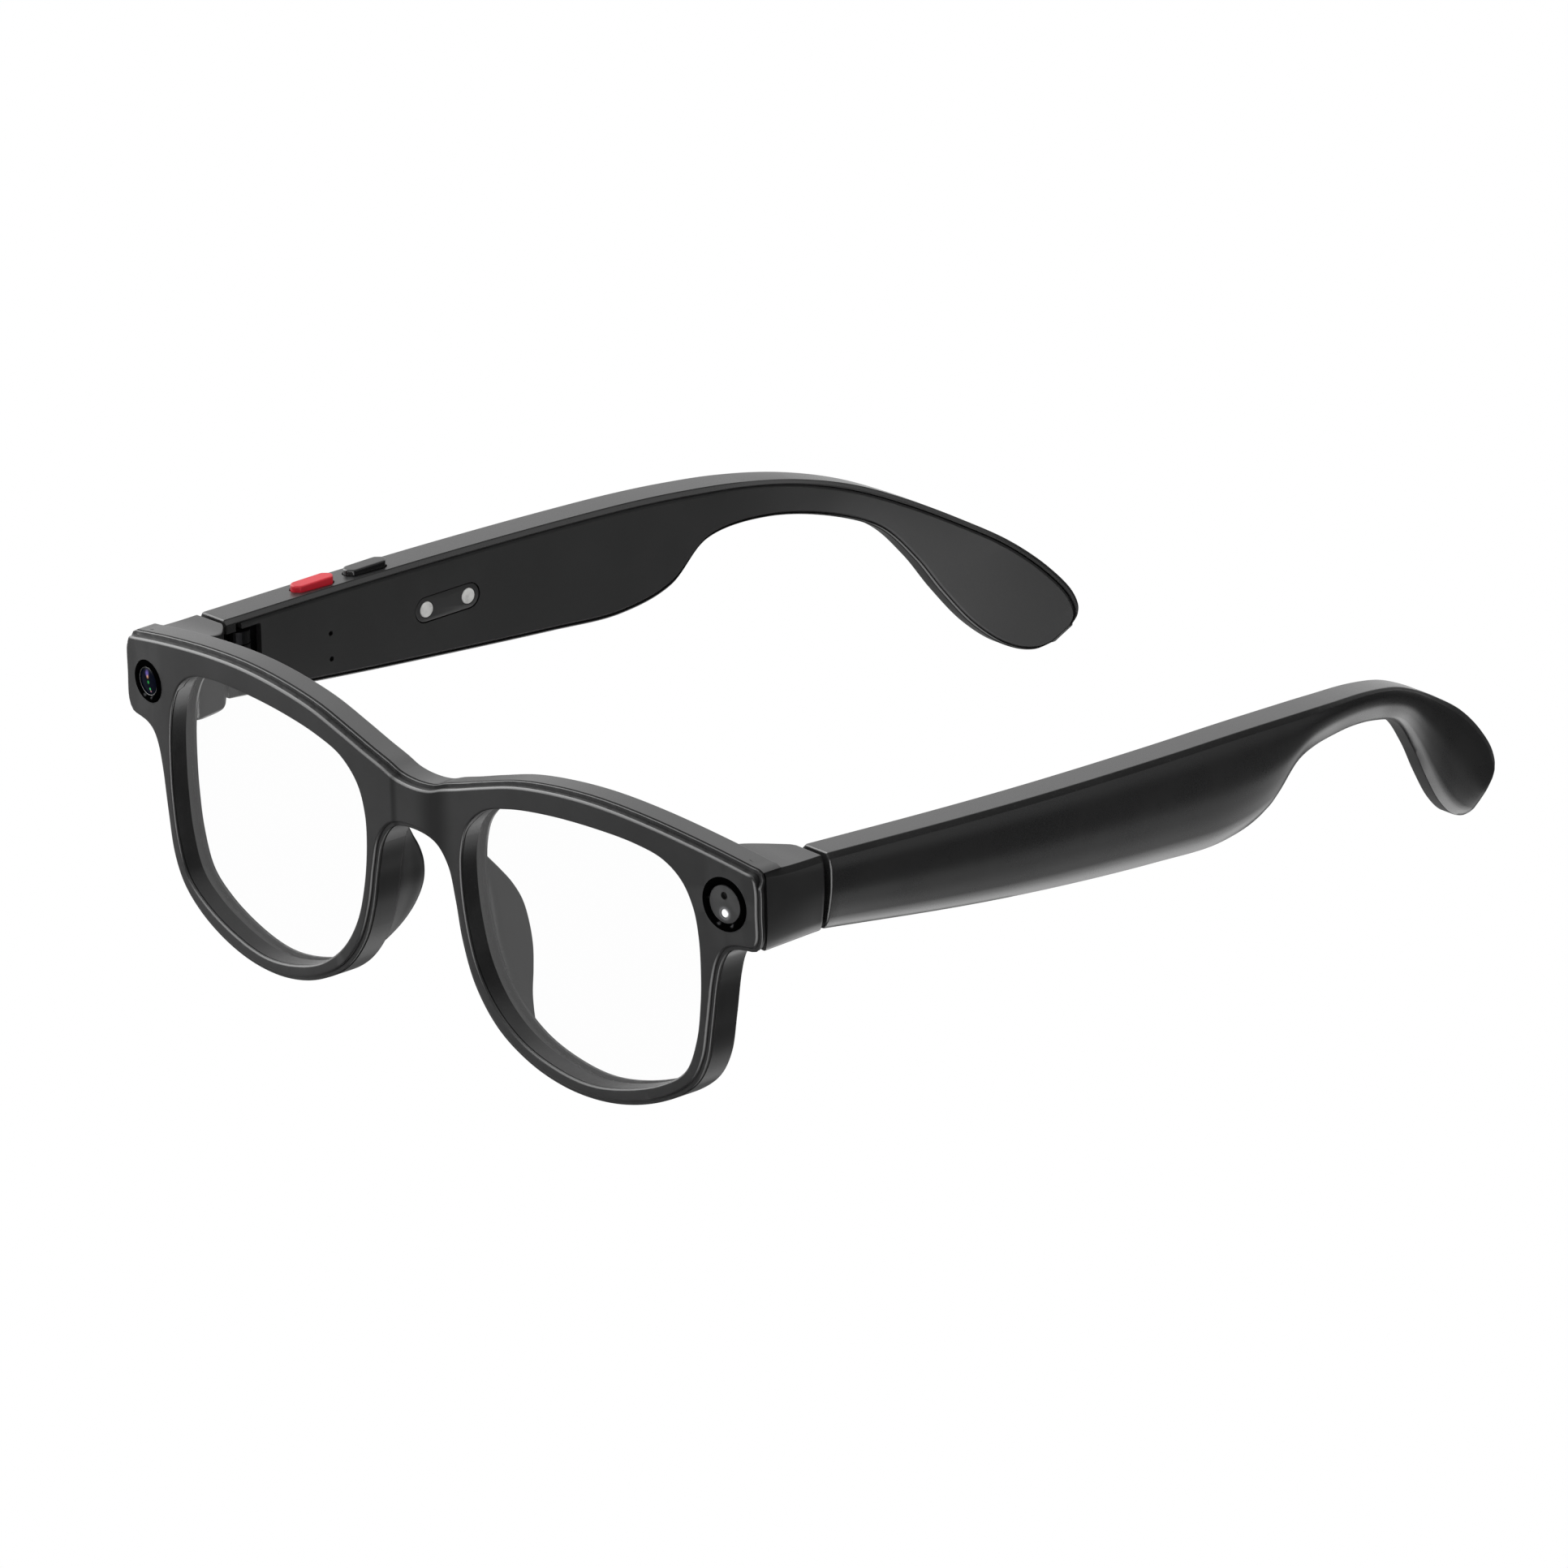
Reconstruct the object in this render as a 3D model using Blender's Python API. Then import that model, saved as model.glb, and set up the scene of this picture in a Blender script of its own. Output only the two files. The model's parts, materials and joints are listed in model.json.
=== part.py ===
"""Smart glasses with a camera, a light module, two buttons and folding temples.

Frame: origin at the middle of the bridge's front face. +Z up, the front faces -Y, and +X is the
wearer's left side. Sizes are in millimetres here and are scaled to metres when built. Heights are
drawn from the lens centre line, which an empty BRIDGE_Z below the origin carries. What moves hangs on
an empty of its own, on its joint's axis.
"""

import math

import bmesh
import bpy
from mathutils import Matrix, Vector

MM = 0.001

# Front: one outline shared by the front plate and the rear frame, wrapped round a cylinder.
WRAP_RADIUS = 440.0
FLAT_BRIDGE = 4.0
BRIDGE_Z = 8.0
PLATE_THICKNESS = 1.3
FRONT_DEPTH = 5.7
JOINT_GAP = 0.1
REAR_LEDGE = 0.65
OUTLINE_SPACING = 4.0
WRAP_CUT_SPACING = 9.0

# Right half of the outer outline, from the top of the bridge round to the arch over the nose.
FRONT_OUTLINE = [
    (0.0, 11.2), (4.1, 11.6), (7.0, 12.6), (10.8, 13.7), (16.4, 15.4), (23.9, 17.4),
    (33.0, 18.6), (42.0, 18.9), (52.1, 18.25), (63.1, 16.75), (71.1, 15.2), (73.3, 14.6),
    (74.1, 12.9), (74.1, 8.5), (74.0, 4.3), (73.2, 3.1), (71.6, 2.9), (69.0, 2.5),
    (67.1, 1.4), (65.8, -0.6), (64.8, -4.0), (63.6, -11.0), (62.3, -17.3), (60.1, -21.3),
    (56.0, -24.5), (49.3, -27.3), (41.4, -28.85), (33.0, -28.7), (25.1, -26.7), (18.3, -22.9),
    (13.65, -17.4), (11.15, -11.1), (9.8, -4.65), (8.3, 0.55), (5.4, 3.75), (0.0, 4.8),
]  # fmt: skip

# Lens opening of the right half, counter-clockwise from its outer side.
LENS_OPENING = [
    (62.5, -3.0), (62.3, 2.5), (61.4, 7.0), (59.2, 10.9), (55.6, 13.4), (50.0, 14.6),
    (41.0, 15.0), (31.0, 14.6), (22.5, 13.4), (16.8, 11.6), (13.0, 8.2), (11.4, 3.8),
    (11.2, -1.5), (12.2, -8.5), (14.2, -14.6), (17.9, -19.9), (23.5, -24.0), (30.5, -26.4),
    (38.0, -27.3), (46.0, -26.1), (54.2, -23.2), (58.8, -20.0), (61.2, -14.5), (62.2, -8.5),
]  # fmt: skip

LENS_GROOVE_FRONT = 3.4
LENS_GROOVE_BACK = 5.0
LENS_GROOVE_DEPTH = 0.9
LENS_THICKNESS = 1.2
LENS_EDGE_IN_GROOVE = 0.6

# Camera and light modules, centred at the same place on the two sides.
MODULE_X = 68.0
MODULE_Z = 9.1
CAMERA_BEZEL_RADIUS = 3.3
CAMERA_WINDOW_RADIUS = 2.1
LIGHT_BEZEL_RADIUS = 4.3
LIGHT_COVER_RADIUS = 3.1
BEZEL_PROUD = 0.3
BEZEL_DEPTH = 1.25
CAMERA_BARREL = ((1.5, 1.9, 1.9, 2.6, 2.6), (1.0, 1.3, 2.6, 2.61, 4.4))
MODULE_POCKET_SIDE = 7.2
MODULE_POCKET_BACK = 7.8
LIGHT_PIPE_RADIUS = 0.75
LIGHT_PIPE_DROP = 1.45
SENSOR_HOLE_RADIUS = 0.45
SENSOR_HOLE_RISE = 1.4
MODULE_CLEARANCE = 0.15

# Brow channel for the flexible cable between the two modules.
CABLE_PATH = [
    (0.0, 8.3), (9.0, 10.2), (14.2, 12.2), (20.0, 14.4), (30.0, 16.0), (42.0, 16.7),
    (54.0, 15.8), (61.0, 13.9), (64.9, 11.9),
]  # fmt: skip
CABLE_WIDTH = 0.9
CABLE_THICKNESS = 0.3
CABLE_CHANNEL_WIDTH = 1.5
CABLE_CHANNEL_DEPTH = 0.9

# End pieces that carry the hinges.
END_BACK = 19.5
END_BOTTOM = 2.0
END_TOP = 14.6
END_OUTER_LIMIT = 74.1
TEMPLE_START = 20.4

# End piece sections: y, x of the inner side, z of the top inner edge, z of the top outer edge.
END_STAGES = [
    (8.6, 62.9, 16.2, 14.7),
    (12.0, 62.9, 15.6, 14.7),
    (16.0, 63.8, 14.9, END_TOP),
    (END_BACK, 67.2, 14.7, END_TOP),
]

# Nose pad sections: z, x of the nose side at the rim, y of the free edge.
NOSE_STAGES = [
    (1.2, 8.3, 6.3),
    (-1.5, 9.4, 8.4),
    (-4.0, 10.1, 10.2),
    (-7.0, 10.8, 11.6),
    (-10.5, 11.6, 11.9),
    (-14.0, 12.9, 11.0),
    (-17.0, 14.3, 9.2),
    (-20.0, 16.4, 6.5),
]

# Temple side profile as two rails (y, z): the top edge and the bottom edge, station by station.
TOP_RAIL = [
    (20.4, 14.7), (55.0, 13.5), (88.0, 12.5), (103.0, 12.0), (113.0, 11.4), (123.0, 10.5),
    (132.9, 9.0), (141.8, 6.5), (149.6, 2.9), (157.3, -1.5), (164.6, -6.3), (170.4, -11.6),
    (174.0, -16.4), (174.7, -19.4), (173.5, -21.4),
]  # fmt: skip
BOTTOM_RAIL = [
    (20.4, 1.9), (54.0, -2.2), (86.0, -5.0), (100.2, -5.6), (109.5, -3.3), (116.3, 2.7),
    (127.0, 4.0), (138.0, 2.0), (145.0, -1.2), (150.0, -7.0), (153.9, -13.2), (158.4, -19.3),
    (163.1, -23.3), (167.3, -24.7), (170.5, -23.9),
]  # fmt: skip
# Inner face of the temple in plan (y, x): it runs straight back and then curls in behind the ear.
INNER_FACE = [
    (20.4, 67.8), (45.0, 69.0), (65.0, 69.4), (90.0, 68.9), (110.0, 67.6),
    (125.0, 65.5), (138.0, 61.9), (150.0, 56.9), (162.0, 51.5), (176.0, 46.0),
]  # fmt: skip
TEMPLE_TOP_WIDTH = 5.8
TIP_WIDTH = 4.2
TEMPLE_STATIONS = 44

# Outer side of the temple: (share of the height, distance beyond the top width).
OUTER_BULGE = [(0.0, -1.5), (0.1, -0.5), (0.3, 0.2), (0.55, 0.8), (0.8, 0.9), (0.92, 0.6), (1.0, 0.0)]

COVER_INSET = 1.0
COVER_THICKNESS = 1.2
CAVITY_WALL = 1.5
COVER_STATIONS = (0.3, 43.2)
COVER_SECTIONS = 36
COVER_CLEARANCE = 0.15
CAVITY_STATIONS = (1.33, 15.0)
CAVITY_DEPTH = (0.6, 5.0)
CAVITY_SECTIONS = 12

# Hinges.
HINGE_X = 69.3
HINGE_Y = 24.0
HINGE_Z = 8.4
KNUCKLE_RADIUS = 1.8
PIN_RADIUS = 0.7
PIN_CLEARANCE = 0.1
MIDDLE_KNUCKLE = (6.9, 9.9)
LOWER_KNUCKLE = (4.7, 6.7)
UPPER_KNUCKLE = (10.1, 12.1)
NOTCH_BACK = 27.6
NOTCH_Z = (4.3, 12.5)
NOTCH_DEPTH_X = 71.5
FRONT_LEAF_START = 13.6
TEMPLE_LEAF_END = 35.2
LEAF_PLATE_X = (70.2, 71.4)
LEAF_HALF_THICKNESS = 1.3
ARM_REACH_X = (0.3, 1.7)
SCREW_RADIUS = 0.5
SCREW_HEAD_RADIUS = 0.9
FRONT_SCREW_Y = 16.0
FRONT_SCREW_X = (67.3, 67.8, 67.81, 72.0)
TEMPLE_SCREW_Y = 32.0
TEMPLE_SCREW_X = (70.3, 70.7, 70.71, 74.2)

# Buttons on top of the right temple.
BUTTON_LENGTH = 8.0
BUTTON_WIDTH = 2.6
BUTTON_PROUD = 1.1
RED_BUTTON_Y = 40.9
BLACK_BUTTON_Y = 51.8
BUTTON_ACROSS = 2.9
BUTTON_CORNER = 0.9
BUTTON_TOP_EDGE = 0.25
BUTTON_CLEARANCE = 0.15
BUTTON_TRAVEL = 0.35
FOOT_DEPTH = (2.4, 2.75)
FOOT_EXTRA_LENGTH = 0.7
FOOT_EXTRA_WIDTH = 0.5
SWITCH_HALF_WIDTH = 1.1
SWITCH_HALF_LENGTH = 1.6
SWITCH_HEIGHT = 1.2

# Charging contacts and microphone holes in the right inner cover.
CONTACT_Y = (61.7, 70.1)
CONTACT_Z = 5.1
CONTACT_RADIUS = 1.28
CONTACT_PLATE_HEIGHT = 4.0
CONTACT_PLATE_LENGTH = 12.8
MICROPHONE_Y = 42.0
MICROPHONE_Z = (2.4, 6.6)
MICROPHONE_RADIUS = 0.4

# Electronics inside the temples.
BATTERY_Y = (76.0, 96.0)
BATTERY_Z = (-1.5, 9.6)
BATTERY_THICKNESS = 2.6
SPEAKER_START = {1: 60.5, -1: 63.2}
SPEAKER_LENGTH = 11.5
SPEAKER_Z = (-0.6, 2.2)
ELECTRONICS_INSET = 1.6
BOARD_Y = (40.5, 61.0)
BOARD_Z = (2.3, 8.9)
BOARD_THICKNESS = 1.0


# ---------------------------------------------------------------- materials
def material(name, colour, roughness, metallic=0.0, alpha=1.0):
    made = bpy.data.materials.new(name)
    made.use_nodes = True
    shader = made.node_tree.nodes["Principled BSDF"]
    shader.inputs["Base Color"].default_value = (*colour, 1.0)
    shader.inputs["Roughness"].default_value = roughness
    shader.inputs["Metallic"].default_value = metallic
    shader.inputs["Alpha"].default_value = alpha
    return made


# ---------------------------------------------------------------- curves
def hermite(p0, p1, m0, m1, t):
    """A point on the cubic from p0 to p1 with tangents m0 and m1."""
    t2 = t * t
    t3 = t2 * t
    return [
        (2 * t3 - 3 * t2 + 1) * a + (t3 - 2 * t2 + t) * u + (3 * t2 - 2 * t3) * b + (t3 - t2) * v
        for a, b, u, v in zip(p0, p1, m0, m1)
    ]


def tangent(before, here, after):
    """Centripetal Catmull-Rom tangent at one point, per unit of its knot spacing."""
    d0 = max(math.dist(before, here) ** 0.5, 1e-6)
    d1 = max(math.dist(here, after) ** 0.5, 1e-6)
    return [
        (b - a) / d0 - (c - a) / (d0 + d1) + (c - b) / d1
        for a, b, c in zip(before, here, after)
    ]


def segment(points, i, closed, t):
    """A point at share t of the smooth curve's stretch from points[i] to the next one."""
    count = len(points)
    at = (lambda k: points[k % count]) if closed else (lambda k: points[min(max(k, 0), count - 1)])
    p0, p1 = at(i), at(i + 1)
    before = at(i - 1)
    after = at(i + 2)
    if not closed and i == 0:
        before = [2 * a - b for a, b in zip(p0, p1)]
    if not closed and i + 2 >= count:
        after = [2 * b - a for a, b in zip(p0, p1)]
    knot = math.dist(p0, p1) ** 0.5
    m0 = [knot * v for v in tangent(before, p0, p1)]
    m1 = [knot * v for v in tangent(p0, p1, after)]
    return hermite(p0, p1, m0, m1, t)


def smooth_loop(points, spacing):
    """A closed smooth outline through the points, with about the given spacing."""
    made = []
    for i in range(len(points)):
        steps = max(1, round(math.dist(points[i], points[(i + 1) % len(points)]) / spacing))
        made += [tuple(segment(points, i, True, k / steps)) for k in range(steps)]
    return made


def smooth_path(points, steps):
    """An open smooth path with the same number of steps between each pair of points."""
    stretches = range(len(points) - 1)
    made = [tuple(segment(points, i, False, k / steps)) for i in stretches for k in range(steps)]
    return made + [tuple(points[-1])]


def table_value(table, key):
    """Smooth interpolation in a table of (key, value) rows."""
    if key <= table[0][0]:
        return table[0][1]
    for i in range(len(table) - 1):
        if key <= table[i + 1][0]:
            t = (key - table[i][0]) / (table[i + 1][0] - table[i][0])
            return segment(table, i, False, t)[1]
    return table[-1][1]


def offset_loop(loop, distance):
    """A counter-clockwise loop moved outwards by the distance."""
    made = []
    for i, (x, z) in enumerate(loop):
        x0, z0 = loop[i - 1]
        x1, z1 = loop[(i + 1) % len(loop)]
        length = math.hypot(x1 - x0, z1 - z0)
        made.append((x + distance * (z1 - z0) / length, z - distance * (x1 - x0) / length))
    return made


def mirrored(loop):
    return [(-x, z) for x, z in reversed(loop)]


def front_loop():
    half = FRONT_OUTLINE
    clockwise = half + [(-x, z) for x, z in reversed(half[1:-1])]
    return smooth_loop(clockwise[::-1], OUTLINE_SPACING)


def wrap(x):
    """How far the wrapped front has moved back at x: not at all on the flat of the bridge."""
    beyond = max(abs(x) - FLAT_BRIDGE, 0.0)
    return WRAP_RADIUS - math.sqrt(WRAP_RADIUS**2 - beyond**2)


def wrap_angle(x):
    return math.copysign(math.asin(max(abs(x) - FLAT_BRIDGE, 0.0) / WRAP_RADIUS), x)


# ---------------------------------------------------------------- meshes
def finish(name, mesh, surface, bevel=0.0):
    bmesh.ops.remove_doubles(mesh, verts=mesh.verts, dist=1e-5)
    bmesh.ops.recalc_face_normals(mesh, faces=mesh.faces)
    bmesh.ops.scale(mesh, vec=(MM, MM, MM), verts=mesh.verts)
    data = bpy.data.meshes.new(name)
    mesh.to_mesh(data)
    mesh.free()
    data.shade_smooth()
    data.set_sharp_from_angle(angle=math.radians(35))
    if surface:
        data.materials.append(surface)
    made = bpy.data.objects.new(name, data)
    bpy.context.scene.collection.objects.link(made)
    made.parent = bpy.data.objects["lens_centre_line"]
    if bevel:
        modifier = made.modifiers.new("edge", "BEVEL")
        modifier.width = bevel * MM
        modifier.segments = 1
        modifier.limit_method = "ANGLE"
        modifier.angle_limit = math.radians(50)
    return made


def bridge(mesh, first, second):
    for i in range(len(first)):
        j = (i + 1) % len(first)
        mesh.faces.new((first[i], first[j], second[j], second[i]))


def ring_of(mesh, points):
    return [mesh.verts.new(point) for point in points]


def loft(name, sections, surface, bevel=0.0):
    """A closed solid through rings with equal point counts, capped at both ends."""
    mesh = bmesh.new()
    rings = [ring_of(mesh, section) for section in sections]
    for first, second in zip(rings, rings[1:]):
        bridge(mesh, first, second)
    mesh.faces.new(rings[0])
    mesh.faces.new(rings[-1])
    return finish(name, mesh, surface, bevel)


def fill_cap(mesh, rings):
    """Fills the flat region between an outer ring and its hole rings with triangles."""
    edges = []
    for ring in rings:
        for i in range(len(ring)):
            edge = mesh.edges.get((ring[i], ring[(i + 1) % len(ring)]))
            edges.append(edge or mesh.edges.new((ring[i], ring[(i + 1) % len(ring)])))
    bmesh.ops.triangle_fill(mesh, use_beauty=True, use_dissolve=False, edges=edges)


def wrapped_panel(name, outer, walls, y_front, y_back, surface):
    """A panel in the wrapped front. Each wall is a hole: a list of (loop, y) rings from front to back."""
    mesh = bmesh.new()
    outside = [ring_of(mesh, [(x, y, z) for x, z in outer]) for y in (y_front, y_back)]
    bridge(mesh, *outside)
    holes = []
    for wall in walls:
        rings = [ring_of(mesh, [(x, y, z) for x, z in loop]) for loop, y in wall]
        for first, second in zip(rings, rings[1:]):
            bridge(mesh, first, second)
        holes.append(rings)
    fill_cap(mesh, [outside[0]] + [rings[0] for rings in holes])
    fill_cap(mesh, [outside[1]] + [rings[-1] for rings in holes])
    cut_and_wrap(mesh)
    return finish(name, mesh, surface)


def cut_and_wrap(mesh):
    """Cuts the flat mesh at even steps in x, so that it can follow the wrap, and wraps it."""
    reach = max(abs(vertex.co.x) for vertex in mesh.verts)
    count = int((reach - FLAT_BRIDGE) / WRAP_CUT_SPACING) + 1
    places = [FLAT_BRIDGE + k * WRAP_CUT_SPACING for k in range(count)]
    for place in places + [-x for x in places]:
        geometry = mesh.verts[:] + mesh.edges[:] + mesh.faces[:]
        plane = {"plane_co": (place, 0, 0), "plane_no": (1, 0, 0)}
        bmesh.ops.bisect_plane(mesh, geom=geometry, dist=1e-4, **plane)
    for vertex in mesh.verts:
        vertex.co.y += wrap(vertex.co.x)


def box(name, low, high, surface, bevel=0.0):
    (x0, y0, z0), (x1, y1, z1) = low, high
    lower = [(x0, y0, z0), (x1, y0, z0), (x1, y1, z0), (x0, y1, z0)]
    upper = [(x0, y0, z1), (x1, y0, z1), (x1, y1, z1), (x0, y1, z1)]
    return loft(name, [lower, upper], surface, bevel)


def round_bar(name, radii, places, axis, centre, surface, sides=24):
    """A turned solid: radii[i] at places[i] along the axis, through the centre."""
    sections = []
    for radius, place in zip(radii, places):
        ring = []
        for i in range(sides):
            angle = 2 * math.pi * (i + 0.5) / sides
            flat = [radius * math.cos(angle), radius * math.sin(angle)]
            flat.insert(axis, place)
            ring.append(tuple(c + f for c, f in zip(centre, flat)))
        sections.append(ring)
    return loft(name, sections, surface)


def cut(target, cutter):
    cutter.hide_render = True
    cutter.display_type = "WIRE"
    modifier = target.modifiers.new("cut", "BOOLEAN")
    modifier.operation = "DIFFERENCE"
    modifier.object = cutter


def join(target, piece):
    piece.hide_render = True
    piece.display_type = "WIRE"
    modifier = target.modifiers.new("join", "BOOLEAN")
    modifier.operation = "UNION"
    modifier.object = piece


def hang_new(before, name, pivot):
    """Parents what was made since `before` to an empty on a joint's axis, and leaves it all in place."""
    axis = bpy.data.objects.new(name, None)
    axis.location = Vector(pivot) * MM
    bpy.context.scene.collection.objects.link(axis)
    axis.parent = bpy.data.objects["lens_centre_line"]
    loose = [piece for piece in bpy.data.objects if piece not in before and piece is not axis]
    for piece in loose:
        if piece.parent is axis.parent:
            piece.parent = axis
            piece.matrix_parent_inverse = Matrix.Translation(-axis.location)
    return axis


def place_on_wrap(piece, x):
    """Turns a piece that was made round the origin so that it faces out of the wrapped front at x."""
    piece.location = Vector((x, wrap(x), MODULE_Z)) * MM
    piece.rotation_euler = (0.0, 0.0, wrap_angle(x))


def side_name(side):
    return "left" if side > 0 else "right"


def mirror_points(sections, side):
    return [[(side * x, y, z) for x, y, z in section] for section in sections]


# ---------------------------------------------------------------- front
def make_front_plate(surface):
    opening = smooth_loop(LENS_OPENING, OUTLINE_SPACING)
    walls = [[(loop, 0.0), (loop, PLATE_THICKNESS)] for loop in (opening, mirrored(opening))]
    plate = wrapped_panel("front_plate", front_loop(), walls, 0.0, PLATE_THICKNESS, surface)
    for side, radius in ((1, LIGHT_BEZEL_RADIUS), (-1, CAMERA_BEZEL_RADIUS)):
        radii = [radius + MODULE_CLEARANCE] * 2
        hole = round_bar(f"plate_hole_{side_name(side)}", radii, [-2, 4], 1, (0, 0, 0), None, 32)
        place_on_wrap(hole, side * MODULE_X)
        cut(plate, hole)
    return plate


def lens_wall(opening):
    """Wall of a lens opening in the rear frame, with the groove that holds the lens."""
    groove = offset_loop(opening, LENS_GROOVE_DEPTH)
    return [
        (opening, PLATE_THICKNESS + JOINT_GAP),
        (opening, LENS_GROOVE_FRONT),
        (groove, LENS_GROOVE_FRONT + 0.2),
        (groove, LENS_GROOVE_BACK - 0.2),
        (opening, LENS_GROOVE_BACK),
        (opening, FRONT_DEPTH),
    ]


def end_piece(side):
    """The block behind each corner of the front that the temple meets."""
    sections = []
    for y, inner, top_in, top_out in END_STAGES:
        ring = [(inner, y, END_BOTTOM + 0.4), (inner, y, top_in)]
        for share, _ in OUTER_BULGE[::-1]:
            ring.append((outer_x(share), y, END_BOTTOM + share * (top_out - END_BOTTOM)))
        sections.append(ring)
    return loft(f"end_piece_{side_name(side)}", mirror_points(sections, side), None)


def outer_x(share):
    """Outer side of the end piece, which runs on into the temple."""
    beyond = 0.6 * table_value(OUTER_BULGE, share)
    return min(INNER_FACE[0][1] + TEMPLE_TOP_WIDTH + beyond, END_OUTER_LIMIT)


def nose_pad(side):
    """A blade from the rim, deeper behind the nose than above or below it."""
    sections = []
    for z, x, tip in NOSE_STAGES:
        root = LENS_GROOVE_BACK + 0.3 + wrap(x)
        reach = tip - root
        ring = [
            (x + 0.15, root, z),
            (x + 0.05, root + 0.55 * reach, z),
            (x + 0.2, root + 0.93 * reach, z),
            (x + 0.8, root + reach, z),
            (x + 1.5, root + 0.93 * reach, z),
            (x + 1.9, root + 0.5 * reach, z),
            (x + 1.4, root, z),
        ]
        sections.append(ring)
    return loft(f"nose_pad_{side_name(side)}", mirror_points(sections, side), None)


def cable_strip(name, width, y_front, y_back, surface):
    """A strip along the brow, from one module pocket to the other."""
    path = smooth_path(CABLE_PATH, 3)
    whole = [(-x, z) for x, z in reversed(path[1:])] + path
    upper, lower = [], []
    for i, (x, z) in enumerate(whole):
        x0, z0 = whole[max(i - 1, 0)]
        x1, z1 = whole[min(i + 1, len(whole) - 1)]
        length = math.hypot(x1 - x0, z1 - z0)
        shift = width / 2
        upper.append((x - shift * (z1 - z0) / length, z + shift * (x1 - x0) / length))
        lower.append((x + shift * (z1 - z0) / length, z - shift * (x1 - x0) / length))
    sections = []
    for (xu, zu), (xl, zl) in zip(upper, lower):
        corners = [(xu, y_front, zu), (xu, y_back, zu), (xl, y_back, zl), (xl, y_front, zl)]
        sections.append([(x, y + wrap(x), z) for x, y, z in corners])
    return loft(name, sections, surface)


def make_rear_frame(surface):
    opening = smooth_loop(LENS_OPENING, OUTLINE_SPACING)
    walls = [lens_wall(opening), [(mirrored(loop), y) for loop, y in lens_wall(opening)]]
    front = PLATE_THICKNESS + JOINT_GAP
    outline = offset_loop(front_loop(), REAR_LEDGE)
    frame = wrapped_panel("rear_frame", outline, walls, front, FRONT_DEPTH, surface)
    # join the solid pieces first, then cut the pockets out of the whole
    for side in (1, -1):
        join(frame, end_piece(side))
        join(frame, nose_pad(side))
    channel = (CABLE_CHANNEL_WIDTH, front - 1.0, front + CABLE_CHANNEL_DEPTH)
    cut(frame, cable_strip("cable_channel", *channel, None))
    half = MODULE_POCKET_SIDE / 2
    for side in (1, -1):
        name = side_name(side)
        low, high = (-half, 1.0, -half), (half, MODULE_POCKET_BACK, half)
        pocket = box(f"module_pocket_{name}", low, high, None)
        place_on_wrap(pocket, side * MODULE_X)
        cut(frame, pocket)
        reach = LEAF_HALF_THICKNESS + 0.4
        low, high = sorted((side * (HINGE_X - reach), side * (HINGE_X + reach)))
        slot = box(
            f"leaf_slot_{name}",
            (low, FRONT_LEAF_START - 0.3, MIDDLE_KNUCKLE[0] - 0.3),
            (high, END_BACK + 1.0, MIDDLE_KNUCKLE[1] + 0.3),
            None,
        )
        cut(frame, slot)
        wide, narrow = SCREW_HEAD_RADIUS + 0.2, SCREW_RADIUS + 0.15
        bore = round_bar(
            f"front_screw_bore_{name}",
            [wide, wide, narrow, narrow],
            [side * 61.0, side * 67.9, side * 67.91, side * 72.4],
            0,
            (0, FRONT_SCREW_Y, HINGE_Z),
            None,
            16,
        )
        cut(frame, bore)
    return frame


def make_lens(side, surface):
    opening = smooth_loop(LENS_OPENING, OUTLINE_SPACING)
    loop = offset_loop(opening, LENS_EDGE_IN_GROOVE)
    loop = loop if side > 0 else mirrored(loop)
    middle = (LENS_GROOVE_FRONT + LENS_GROOVE_BACK) / 2
    half = LENS_THICKNESS / 2
    front, back = middle - half, middle + half
    return wrapped_panel(f"{side_name(side)}_lens", loop, [], front, back, surface)


def make_bezel(name, radius, inner, x, surface):
    """A ring that stands a little proud of the front plate, with its front edge broken."""
    bezel = round_bar(
        name,
        [radius - BEZEL_PROUD, radius, radius],
        [-BEZEL_PROUD, 0.0, BEZEL_DEPTH],
        1,
        (0, 0, 0),
        surface,
        32,
    )
    bore = round_bar(f"{name}_bore", [inner, inner], [-1.5, 3.0], 1, (0, 0, 0), None)
    for piece in (bezel, bore):
        place_on_wrap(piece, x)
    cut(bezel, bore)


def make_camera(bezel_surface, glass, barrel_surface, board_surface):
    inner = CAMERA_WINDOW_RADIUS + MODULE_CLEARANCE
    make_bezel("camera_bezel", CAMERA_BEZEL_RADIUS, inner, -MODULE_X, bezel_surface)
    radii, places = CAMERA_BARREL
    pieces = [
        round_bar("camera_window", [CAMERA_WINDOW_RADIUS] * 2, [0.1, 0.7], 1, (0, 0, 0), glass),
        round_bar("camera_barrel", radii, places, 1, (0, 0, 0), barrel_surface),
        box("camera_sensor", (-3.2, 4.7, -3.2), (3.2, 7.2, 3.2), board_surface),
    ]
    for piece in pieces:
        place_on_wrap(piece, -MODULE_X)


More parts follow.
